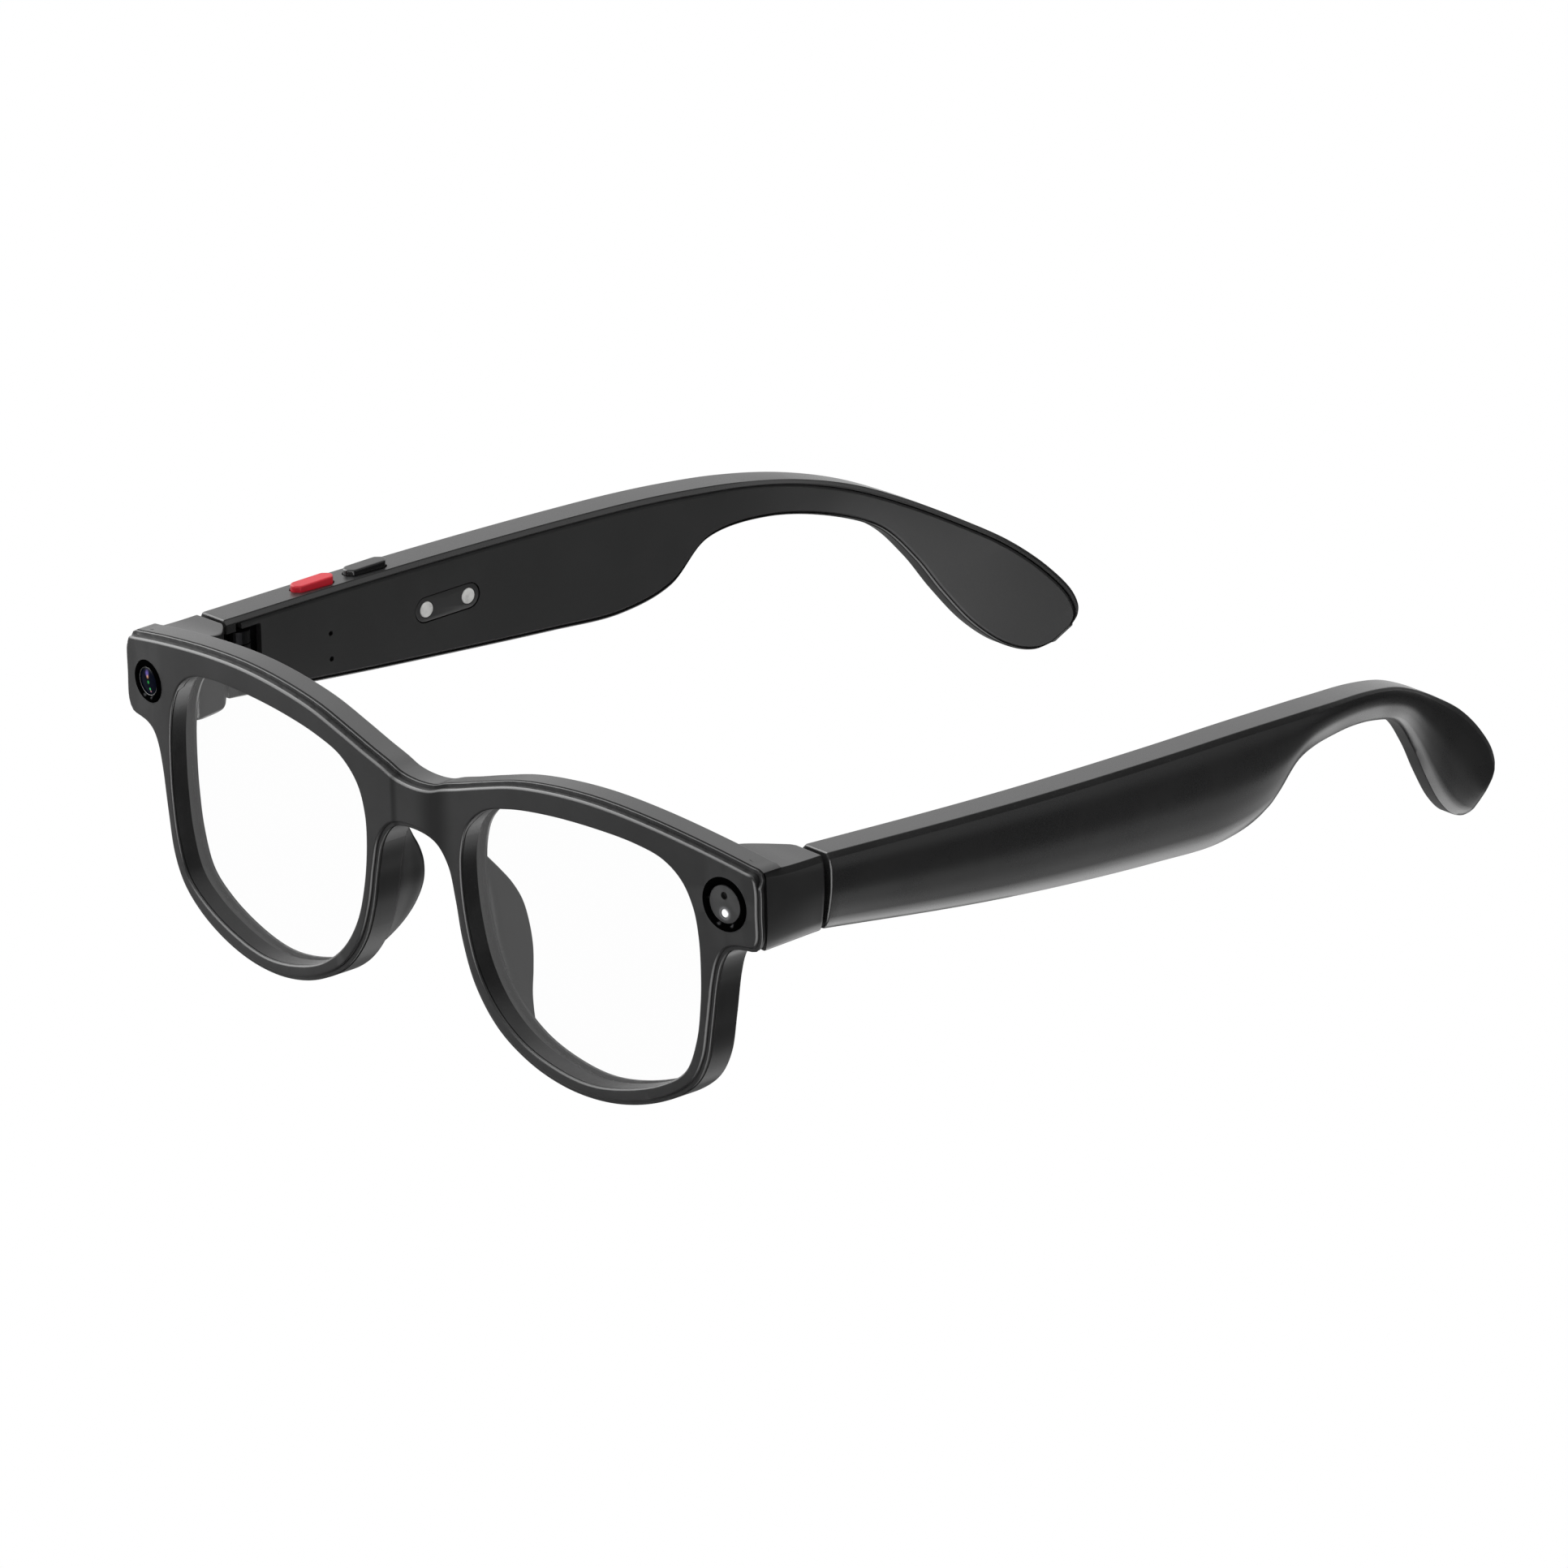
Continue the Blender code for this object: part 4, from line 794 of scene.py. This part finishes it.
def make_front_plate():
    """The face of the frame: a rounded edge over a black band, with rounded lens openings."""
    holes = [circle(LIGHT_RADIUS + 0.08, 64, (MODULE_X, MODULE_CENTRE.z))]
    camera_hole = circle(CAMERA_RADIUS + 0.08, 64)
    holes.append([(a * CAMERA_STRETCH - MODULE_X, b + MODULE_CENTRE.z) for a, b in camera_hole])
    indices = ([0, 0, 0, 0, 2, 2], [0, 0, 0, 0, 1])
    edges = (PLATE_EDGE, lens_openings(), PLATE_OPENING_EDGE)
    plate = wrapped_panel("front_face", front_outline(), *edges, [SATIN, WALL, SEAM], indices, holes)
    show_as(flat_normals(plate), "front_plate", "front")


def outer_x(share, y):
    """The outer side: flush with the ledge at the seam, and bulged like the temple further back."""
    beyond = END_BULGE * table_value(OUTER_BULGE + [(1.0, 0.0)], share)
    bulged = min(INNER_FACE[0][1] + TEMPLE_TOP_WIDTH + beyond, END_OUTER_LIMIT)
    flush = (END_OUTER_LIMIT + table_value(END_FRONT_BULGE, share)) if share < 1 else bulged
    start, length = END_BULGE_GROWTH
    return flush + (bulged - flush) * clamped((y - start) / length)


def end_section(y, inner, top_in, top_out, shrink=0.0):
    """One section of an end piece: inner side, top, black chamfer and rounded outer side."""
    height = top_out - END_BOTTOM
    corners = [(inner, END_BOTTOM + 0.4)]
    corners += [(outer_x(share, y), END_BOTTOM + share * height) for share in (*END_SHARES, CHAMFER_SHARE)]
    corners += [(outer_x(1.0, y) - 0.1, top_out), (inner, top_in)]
    radii = [0.6, 0.7] + [0.9] * 6 + [0.12, 0.12, 0.5]
    middle_x, middle_z = (inner + outer_x(0.5, y)) / 2, (END_BOTTOM + top_out) / 2
    ring = rounded(corners, radii, 4)
    return [(drawn_in(x, middle_x, shrink), y, drawn_in(z, middle_z, shrink)) for x, z in ring]


def make_end_piece(side):
    rows = smooth_path(END_STAGES, 6)
    depth, *last = rows.pop()
    sections = [end_section(*row) for row in rows]
    for back, shrink in ((-0.3, 0.0), (-0.12, 0.06), (-0.03, 0.17), (0.0, 0.3)):
        sections.append(end_section(depth + back, *last, shrink))
    return loft("end_piece_tool", flip(sections, side), [BACK_SHELL, STRIP], black=END_STRIP)


def nose_ring(z, x, tip, size=1.0):
    root = 5.3 + wrap(x)
    reach = tip - root
    control = [
        (x + 0.15, root),
        (x + 0.05, root + 0.55 * reach),
        (x + 0.2, root + 0.93 * reach),
        (x + 0.8, root + reach),
        (x + 1.5, root + 0.93 * reach),
        (x + 1.9, root + 0.5 * reach),
        (x + 1.4, root),
    ]
    middle = (sum(p[0] for p in control) / 7, sum(p[1] for p in control) / 7)
    dense = [curve_point(control, i, True, k / 5) for i in range(7) for k in range(5)]
    return [(middle[0] + (a - middle[0]) * size, middle[1] + (b - middle[1]) * size, z) for a, b in dense]


def make_nose_pad(side):
    rows = smooth_path(NOSE_STAGES, 6)
    first, last = rows[0], rows[-1]
    cap = [(0.35, 0.8), (0.6, 0.45)]
    sections = [nose_ring(first[0] + up, *first[1:], size) for up, size in reversed(cap)]
    sections += [nose_ring(*row) for row in rows]
    sections += [nose_ring(last[0] - down, *last[1:], size) for down, size in cap]
    return loft("nose_pad_tool", flip(sections, side), [BACK_SHELL])


def make_rear_frame():
    """The frame behind the face, with the end pieces and nose pads moulded in."""
    outline = offset_loop(front_outline(), REAR_LEDGE)
    surfaces = [BACK_SHELL, STRIP, WALL, SEAM, SATIN]
    indices = ([4] * 3 + [3] * 3 + [0] * 5, [3] * 2 + [2] * 8 + [0] * 3)
    edges = (REAR_EDGE, lens_openings(), REAR_OPENING_EDGE)
    rear = wrapped_panel("frame_back", outline, *edges, surfaces, indices, tucked=6)
    room = Vector((0.4, 0.3, 0.3))
    for side in (1, -1):
        boolean(rear, make_end_piece(side), "UNION")
        boolean(rear, make_nose_pad(side), "UNION")
        low, high = node_box(f"{side_name(side)}_hinge_front_leaf")
        boolean(rear, block("slot_tool", low - room, high + room, 0.3))
    show_as(flat_normals(rear), "rear_frame", "front")


def make_lens(side):
    """A thin lens with a rounded rim, seated in its groove."""
    name = f"{side_name(side)}_lens"
    loop = offset_loop(smooth_loop(LENS_OPENING, CURVE_STEP), LENS_SEAT)
    loop = loop if side > 0 else mirrored(loop)
    mesh = bmesh.new()
    rings = []
    for inset, depth in LENS_RIM:
        rings.append([mesh.verts.new((x, depth, z)) for x, z in offset_loop(loop, -inset)])
    for first, second in zip(rings, rings[1:]):
        bridge(mesh, first, second)
    fill_between(mesh, [rings[0]])
    fill_between(mesh, [rings[-1]])
    wrap_mesh(mesh)
    show_as(flat_normals(finish_mesh(f"{name}_glass", mesh, [LENS])), name, "front")


def bezel_profile(outer, inner):
    """A ring's section: rounded outer shoulder, flat front and a stepped funnel down to the window."""
    return [
        (outer, 1.8), (outer, 0.0), (outer - 0.05, -0.15), (outer - 0.16, -0.26), (outer - 0.34, -0.3),
        (inner + 0.45, -0.3), (inner + 0.32, -0.27), (inner + 0.24, -0.18), (inner + 0.22, -0.02),
        (inner + 0.05, 0.02), (inner, 0.1), (inner, 1.8),
    ]


def make_camera():
    profile = bezel_profile(CAMERA_RADIUS, CAMERA_GLASS_RADIUS + 0.1)
    bezel = turned("camera_ring", profile, -MODULE_X, [CAMERA_RING], hollow=True)
    show_as(bezel, "camera_bezel", "front")
    radius = CAMERA_GLASS_RADIUS
    dome = [(0.02, -0.10), (radius * 0.4, -0.08), (radius * 0.7, -0.02), (radius * 0.9, 0.06), (radius, 0.14)]
    glass = turned("camera_glass", dome + [(radius, 0.7)], -MODULE_X, [COATED])
    show_as(glass, "camera_window", "front")
    fillet = [(radius + 0.02, 0.0), (radius + 0.10, -0.05), (radius + 0.16, 0.0), (radius + 0.1, 0.06)]
    trim = turned("camera_trim", fillet, -MODULE_X, [INSERT], hollow=True)
    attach(trim, "front")


def make_light():
    profile = bezel_profile(LIGHT_RADIUS, LIGHT_COVER_RADIUS + 0.05)
    bezel = turned("light_ring", profile, MODULE_X, [LIGHT_RING], hollow=True)
    show_as(bezel, "light_bezel", "front")
    radius = LIGHT_COVER_RADIUS
    rim = [(0.02, 0.02), (radius - 0.35, 0.02), (radius - 0.1, 0.07), (radius, 0.2), (radius, 1.1)]
    disc = turned("light_disc", rim, MODULE_X, [DISC, SENSOR_BLACK])
    for centre, size in ((LED, 0.78), (SENSOR, 0.62)):
        hole = turned("hole_tool", [(size, -1.0), (size, 2.0)], MODULE_X, [SENSOR_BLACK], 40, centre)
        boolean(disc, hole)
    show_as(disc, "light_cover", "front")
    dome = [(0.02, -0.1), (0.35, -0.07), (0.6, 0.02), (0.75, 0.18), (0.75, 3.9)]
    pipe = turned("light_lens", dome, MODULE_X, [LED_LIGHT], 40, LED)
    show_as(pipe, "light_pipe", "front")


# ---------------------------------------------------------------- temples
def rail_point(rail, station):
    place = station / RAIL_STATIONS * (len(rail) - 1)
    i = min(int(place), len(rail) - 2)
    return curve_point(rail, i, False, place - i)


def temple_width(station):
    share = station / RAIL_STATIONS
    slim = clamped((share - 0.3) / 0.35)
    width = TEMPLE_TOP_WIDTH + (TIP_WIDTH - TEMPLE_TOP_WIDTH) * slim * slim * (3 - 2 * slim)
    closing = clamped((share - 0.9) / 0.1)
    return width * (1 - 0.35 * closing**2)


def temple_height(station):
    return math.dist(rail_point(TOP_RAIL, station), rail_point(BOTTOM_RAIL, station))


def on_temple(station, depth, height):
    """A point at a depth outwards from the inner face and a height above the bottom edge."""
    y1, z1 = rail_point(TOP_RAIL, station)
    y0, z0 = rail_point(BOTTOM_RAIL, station)
    share = height / math.hypot(y1 - y0, z1 - z0)
    y = y0 + share * (y1 - y0)
    return (table_value(INNER_FACE, y) + depth, y, z0 + share * (z1 - z0))


# Points on the bulged outer side of a temple's section, and the section's stretches that are black:
# the lip above the cover, the inner edge above it and the outer chamfer.
BULGE_POINTS = 16
TEMPLE_STRIP = (7, 8, 10, 13)


def temple_ring(station, recess=0.0, cavity=0.0, shrink=0.0):
    """A section of the shell. The inner face steps down by recess, and further down by cavity."""
    height = temple_height(station)
    width = temple_width(station)
    scale = width / TEMPLE_TOP_WIDTH
    slope = INNER_CHAMFER * scale
    lip = min(COVER_INSET - COVER_GAP, height * 0.25)
    low_lip = COVER_LOW_INSET - COVER_LOW_GAP
    deep = min(CAVITY_INSET, height * 0.35)
    ring = [
        (0.0, low_lip * 0.6), (0.0, low_lip), (recess, low_lip), (recess, deep), (cavity, deep),
        (cavity, height - deep), (recess, height - deep), (recess, height - lip), (0.0, height - lip),
        (0.0, height - slope), (slope * 0.78, height - slope * 0.22), (slope, height), (width - 0.12, height),
    ]
    chamfer_h = height - min(1.0, (1 - CHAMFER_SHARE) * height)
    ring += [(width + 0.06 * scale, height - 0.08), (width + CHAMFER_OUT * scale - 0.05, chamfer_h + 0.08)]
    for k in range(BULGE_POINTS):
        share = CHAMFER_SHARE * (1 - k / BULGE_POINTS)
        ring.append((width + table_value(OUTER_BULGE, share) * scale, chamfer_h * share / CHAMFER_SHARE))
    ring += [(width - 1.62 * scale, 0.07), (width - 2.0 * scale, 0.0), (0.3 * scale, 0.0), (0.09, 0.06)]
    return [
        on_temple(station, drawn_in(depth, width / 2, shrink), drawn_in(level, height / 2, shrink))
        for depth, level in ring
    ]


def shell_sections():
    front_cover, back_cover = COVER_STATIONS[0] - 0.12, COVER_STATIONS[1] + 0.12
    floor = COVER_THICKNESS + COVER_GAP
    sections = []
    edge = TEMPLE_EDGE_ROUND
    first_stretch = TOP_RAIL[1][0] - TEMPLE_START
    # the front end: the same section drawn in a little, then the rounded corner
    for shift, shrink in ((0.0, edge), (0.05 * edge, edge * 0.55), (0.3 * edge, edge * 0.2), (edge, 0.0)):
        station = shift / first_stretch * RAIL_STATIONS / (len(TOP_RAIL) - 1)
        sections.append(temple_ring(station, shrink=shrink))
    marks = sorted(
        {front_cover, back_cover, *CAVITY_STATIONS}
        | {0.15 + (TIP_STATION - 0.3) * k / TEMPLE_RINGS for k in range(1, TEMPLE_RINGS)}
    )
    recess = cavity = 0.0
    for station in marks:
        sections.append(temple_ring(station, recess, max(recess, cavity)))
        if station in (front_cover, back_cover):
            recess = floor - recess
        elif station in CAVITY_STATIONS:
            cavity = CAVITY_DEPTH - cavity
        else:
            continue
        sections.append(temple_ring(station, recess, max(recess, cavity)))
    return sections + tip_cap()


def tip_cap():
    """Rings that close the very end behind the ear: a rounded edge, then a shallow dome."""
    last = temple_ring(TIP_STATION)
    before = temple_ring(TIP_STATION - 0.5)
    middle = Vector([sum(v) / len(last) for v in zip(*last)])
    onward = (middle - Vector([sum(v) / len(before) for v in zip(*before)])).normalized()
    sections = []
    for shrink, out in TIP_EDGE:
        sections.append([tuple(Vector(p) + onward * out) for p in temple_ring(TIP_STATION, shrink=shrink)])
    rim = sections[-1]
    for size, out in ((0.7, 0.03), (0.35, 0.05)):
        centre = middle + onward * TIP_EDGE[-1][1]
        sections.append([tuple(centre + (Vector(p) - centre) * size + onward * out) for p in rim])
    return sections


def cover_ring(station, shrink=0.0, proud=0.0):
    height = temple_height(station)
    low, high = COVER_LOW_INSET + shrink, height - min(COVER_INSET, height * 0.3) - shrink
    edge = COVER_CHAMFER
    rise = [(COVER_THICKNESS, 0.0), (edge + proud, 0.0), (edge * 0.62, 0.04), (0.1 + proud, edge * 0.8)]
    rise.append((proud, edge * 1.15))
    section = [(depth, low + up) for depth, up in rise] + [(proud, (low + high) / 2)]
    section += [(depth, high - down) for depth, down in reversed(rise)]
    return [on_temple(station, depth, level) for depth, level in section]


def make_cover(side):
    first, last = COVER_STATIONS
    sections = [cover_ring(first, 0.12, 0.12), cover_ring(first + 0.08, 0.03, 0.03)]
    for k in range(COVER_RINGS + 1):
        sections.append(cover_ring(first + 0.2 + (last - first - 0.4) * k / COVER_RINGS))
    sections += [cover_ring(last - 0.08, 0.03, 0.03), cover_ring(last, 0.12, 0.12)]
    return loft(f"{side_name(side)}_temple_panel", flip(sections, side), [MATTE, STRIP])


def notch_tool(side):
    """The room for the hinge, open towards the front."""
    name = side_name(side)
    leaf_low, leaf_high = node_box(f"{name}_hinge_temple_leaf")
    low, high = sorted(side * x for x in NOTCH_SIDES)
    back = node_box(f"{name}_hinge_pin")[1].y + NOTCH_BEHIND_PIN
    corners = ((low, NOTCH_FRONT, leaf_low.z - NOTCH_ROOM), (high, back, leaf_high.z + NOTCH_ROOM))
    return block("notch_tool", *corners, 0.45, STRIP)


def make_temple(side):
    name = side_name(side)
    body = f"{name}_temple"
    shell = loft(f"{body}_body", flip(shell_sections(), side), [SHELL, STRIP], black=TEMPLE_STRIP)
    cover = make_cover(side)
    leaf_low, leaf_high = node_box(f"{name}_hinge_temple_leaf")
    boolean(shell, notch_tool(side))
    boolean(cover, notch_tool(side))
    room = Vector((0.25, 0.3, 0.3))
    boolean(shell, block("seat_tool", leaf_low - room, leaf_high + room, 0.2, STRIP))
    if side < 0:
        for button in ("red_button", "black_button"):
            boolean(shell, button_hole(button))
        for tool in (contact_recess(), *microphone_tools()):
            boolean(cover, tool)
    show_as(flat_normals(shell), f"{body}_shell", body)
    show_as(flat_normals(cover), f"{body}_cover", body)


# ---------------------------------------------------------------- right temple's controls
def button_outline(length, width, corner=0.3):
    """A button's outline: a rectangle with its corners cut off and then rounded."""
    half, edge = length / 2, width / 2
    long, short = half - BUTTON_CORNER, edge - BUTTON_CORNER
    outline = [(half, -short), (half, short), (long, edge), (-long, edge)]
    outline += [(-half, short), (-half, -short), (-long, -edge), (long, -edge)]
    return rounded(outline, [corner] * 8, 4)


def button_sections(name, levels):
    centre = node_centre(name)
    return [[(centre.x + b, centre.y + a, z) for a, b in outline] for z, outline in levels]


def button_hole(name):
    top = node_box(name)[1].z
    outline = button_outline(BUTTON_LENGTH + 2 * BUTTON_HOLE_GAP, BUTTON_WIDTH + 2 * BUTTON_HOLE_GAP)
    sections = button_sections(name, [(top - 5.0, outline), (top + 2.0, outline)])
    return loft("button_hole_tool", sections, [STRIP])


def make_button(name, surface):
    """A flat-topped button cap with a small rounded edge, on the foot that keeps it in the shell."""
    low, high = node_box(name)
    foot = button_outline(BUTTON_LENGTH + BUTTON_FOOT[0], BUTTON_WIDTH + BUTTON_FOOT[1])
    cap = button_outline(BUTTON_LENGTH, BUTTON_WIDTH)
    levels = [(low.z, foot), (low.z + 0.35, foot), (low.z + 0.36, cap), (high.z - BUTTON_ROUND, cap)]
    for turn in (20, 40, 60, 78):
        inset = BUTTON_ROUND * (1 - math.cos(math.radians(turn)))
        drop = BUTTON_ROUND * (1 - math.sin(math.radians(turn)))
        levels.append((high.z - drop, button_outline(BUTTON_LENGTH - 2 * inset, BUTTON_WIDTH - 2 * inset)))
    levels.append((high.z, button_outline(BUTTON_LENGTH - 0.7, BUTTON_WIDTH - 0.7, 0.2)))
    piece = loft(f"{name}_cap", button_sections(name, levels), [surface])
    show_as(flat_normals(piece), name, name)


def pill(length, height, count=20):
    radius = height / 2
    outline = []
    for middle, start in ((length / 2 - radius, -90), (radius - length / 2, 90)):
        turns = [math.radians(start + 180 * k / count) for k in range(count + 1)]
        outline += [(middle + radius * math.cos(a), radius * math.sin(a)) for a in turns]
    return outline


def contact_recess():
    low, high = node_box("contact_plate")
    centre = (low + high) / 2
    outline = pill(high.y - low.y + 0.3, high.z - low.z + 0.3)
    sections = [[(x, centre.y + a, centre.z + b) for a, b in outline] for x in (low.x - 0.15, high.x + 2.0)]
    return loft("recess_tool", sections, [STRIP])


def round_tool(name, radius, centre, x_range, count=48):
    """A round cutter along x: centre is (y, z)."""
    ring = circle(radius, count, centre)
    return loft(name, [[(x, a, b) for a, b in ring] for x in x_range], [STRIP])


def microphone_tools():
    face = node_box("contact_plate")[1].x
    for z in MICROPHONE_HEIGHTS:
        centre, x_range = (MICROPHONE_Y, z), (face - 3.0, face + 3.0)
        yield round_tool("microphone_tool", MICROPHONE_RADIUS, centre, x_range, 24)


def make_contacts():
    """The pill-shaped insert and its two plated contacts."""
    low, high = node_box("contact_plate")
    centre = (low + high) / 2
    sections = []
    for x, inset in ((low.x, 0.0), (high.x - 0.2, 0.0), (high.x - 0.06, 0.05), (high.x, 0.2)):
        outline = pill(high.y - low.y - 2 * inset, high.z - low.z - 2 * inset)
        sections.append([(x, centre.y + a, centre.z + b) for a, b in outline])
    plate = loft("contact_insert", sections, [INSERT, STRIP])
    for label in ("front", "rear"):
        node = f"charging_contact_{label}"
        pad_low, pad_high = node_box(node)
        face, radius = pad_high.x, (pad_high.y - pad_low.y) / 2
        middle = ((pad_low + pad_high) / 2).yz
        boolean(plate, round_tool("pad_tool", radius + 0.08, middle, (low.x - 1.0, high.x + 1.0)))
        steps = [(face - 1.4, 0.6), (face - 0.5, 0.6), (face - 0.49, radius), (face - 0.14, radius)]
        steps += [(face - 0.05, radius - 0.06), (face - 0.01, radius - 0.2), (face, radius * 0.5)]
        rings = [[(x, a, b) for a, b in circle(size, 48, middle)] for x, size in steps]
        pad = loft(f"contact_pad_{label}", rings, [SILVER])
        show_as(pad, node, "right_temple")
    show_as(plate, "contact_plate", "right_temple")


# ---------------------------------------------------------------- CAD nodes that stay
NODE_FINISH = {
    "steel": STEEL,
    "circuit_board": BOARD,
    "battery_foil": FOIL,
    "flex_cable": FLEX,
    "grey_plastic": INSERT,
    "matte_plastic": MATTE,
}


def dress_cad_nodes():
    """Gives every CAD node that stays in view its finish and softly broken edges."""
    for row in frame["record"]["subparts"]:
        node = frame["nodes"][row["node"]]
        if node.hide_render:
            continue
        node.data.materials.clear()
        node.data.materials.append(NODE_FINISH[row["material_slot"]])
        bevel = node.modifiers.new("edge", "BEVEL")
        bevel.width = 0.08 * MM
        bevel.segments = 2
        bevel.limit_method = "ANGLE"
        bevel.angle_limit = math.radians(40)


# ---------------------------------------------------------------- stage
FLOOR_REACH = 20.0
FLOOR_GAP = 0.0004


def make_floor():
    """A plain pale sheet that only the camera sees, so it shows no shadow. Sizes are metres."""
    level = CAD_BOX[0].z - FLOOR_GAP
    corners = [(a * FLOOR_REACH, b * FLOOR_REACH, level) for a, b in ((-1, -1), (1, -1), (1, 1), (-1, 1))]
    data = bpy.data.meshes.new("floor")
    data.from_pydata(corners, [], [(0, 1, 2, 3)])
    surface, nodes, shader = new_material("pale_floor")
    nodes.fill(shader, Base_Color=BLACK, Roughness=1.0, Specular_IOR_Level=0.0)
    nodes.fill(shader, Emission_Color=WHITE, Emission_Strength=1.0)
    data.materials.append(surface)
    floor = bpy.data.objects.new("floor", data)
    bpy.context.scene.collection.objects.link(floor)
    floor.visible_glossy = False
    floor.visible_diffuse = False
    floor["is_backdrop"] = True


# Soft sources as (direction, half angle in degrees, softness in degrees, strength).
SOFT_SOURCES = [
    ((-0.72, 0.60, 0.36), 26, 26, 0.95),
    ((-0.72, -0.36, 0.58), 30, 18, 5.0),
    ((0.0, 0.2, 1.0), 30, 26, 1.0),
    ((0.78, 0.60, 0.05), 8, 14, 0.6),
    ((0.14, 0.55, -0.82), 12, 17, 3.2),
    ((0.59, -0.70, -0.30), 28, 16, 5.0),
    ((-0.72, -0.60, -0.35), 22, 18, 0.3),
    ((-0.70, 0.36, -0.60), 18, 20, 0.25),
]
# What lies between the patches, the even light from below and from above, and the backdrop.
WORLD_BASE = 0.05
AMBIENT = (0.25, 0.95)
BACKDROP = 1.0


def make_world():
    """Smooth patches that the gloss mirrors, an even light for the rest, and a plain backdrop."""
    world = bpy.data.worlds.new("studio")
    bpy.context.scene.world = world
    world.use_nodes = True
    nodes = Nodes(world.node_tree)
    where = nodes.place("Generated")
    total = None
    for direction, half, soft, strength in SOFT_SOURCES:
        facing = nodes.vector_math("DOT_PRODUCT", where, Vector(direction).normalized())
        low, high = math.cos(math.radians(half + soft)), math.cos(math.radians(half))
        amount = nodes.ramp(facing, low, high, 0.0, strength)
        total = amount if total is None else nodes.math("ADD", total, amount)
    total = nodes.math("ADD", total, WORLD_BASE)
    even = nodes.ramp(nodes.axes(where)["Z"], -1.0, 1.0, *AMBIENT)
    path = nodes.add("ShaderNodeLightPath").outputs
    light = nodes.between(path["Is Diffuse Ray"], total, even)
    seen = nodes.between(path["Is Camera Ray"], light, BACKDROP)
    nodes.fill(world.node_tree.nodes["Background"], Color=WHITE, Strength=seen)


# The camera's direction, roll and angle of view in degrees, and its distance and aim in millimetres.
CAMERA_AZIMUTH = 50.0
CAMERA_ELEVATION = 20.81
CAMERA_ROLL = -1.953
CAMERA_VIEW = 2.278
CAMERA_DISTANCE = 6000.0
CAMERA_AIM = (56.84, 8.97)
CAMERA_SENSOR = 36.0


def make_camera_view():
    """A long lens from the wearer's front left, slightly above, rolled a little."""
    azimuth, elevation = math.radians(CAMERA_AZIMUTH), math.radians(CAMERA_ELEVATION)
    roll = math.radians(CAMERA_ROLL)
    level = math.cos(elevation)
    back = Vector((math.sin(azimuth) * level, -math.cos(azimuth) * level, math.sin(elevation)))
    right = Vector((0, 0, 1)).cross(back).normalized()
    up = back.cross(right)
    aim_right, aim_up = CAMERA_AIM
    place = back * CAMERA_DISTANCE + right * aim_right + up * aim_up - Vector((0, 0, LENS_LINE_DROP))
    across = math.cos(roll) * right + math.sin(roll) * up
    upright = math.cos(roll) * up - math.sin(roll) * right
    data = bpy.data.cameras.new("camera")
    data.sensor_width = CAMERA_SENSOR
    data.lens = CAMERA_SENSOR / (2 * math.tan(math.radians(CAMERA_VIEW) / 2))
    data.clip_start, data.clip_end = 0.1, 100.0
    camera = bpy.data.objects.new("camera", data)
    bpy.context.scene.collection.objects.link(camera)
    turn = Matrix((across, upright, back)).transposed().to_4x4()
    camera.matrix_world = Matrix.Translation(place * MM) @ turn
    bpy.context.scene.camera = camera


# ---------------------------------------------------------------- build
make_front_plate()
make_rear_frame()
for side in (1, -1):
    make_lens(side)
    make_temple(side)
make_camera()
make_light()
make_button("red_button", RED)
make_button("black_button", GLOSS)
make_contacts()
dress_cad_nodes()
make_floor()
make_world()
make_camera_view()
bpy.context.scene.view_settings.view_transform = "Standard"

boxes = {"cad": CAD_BOX, "visual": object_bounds()}
{name: [list(corner) for corner in pair] for name, pair in boxes.items()}
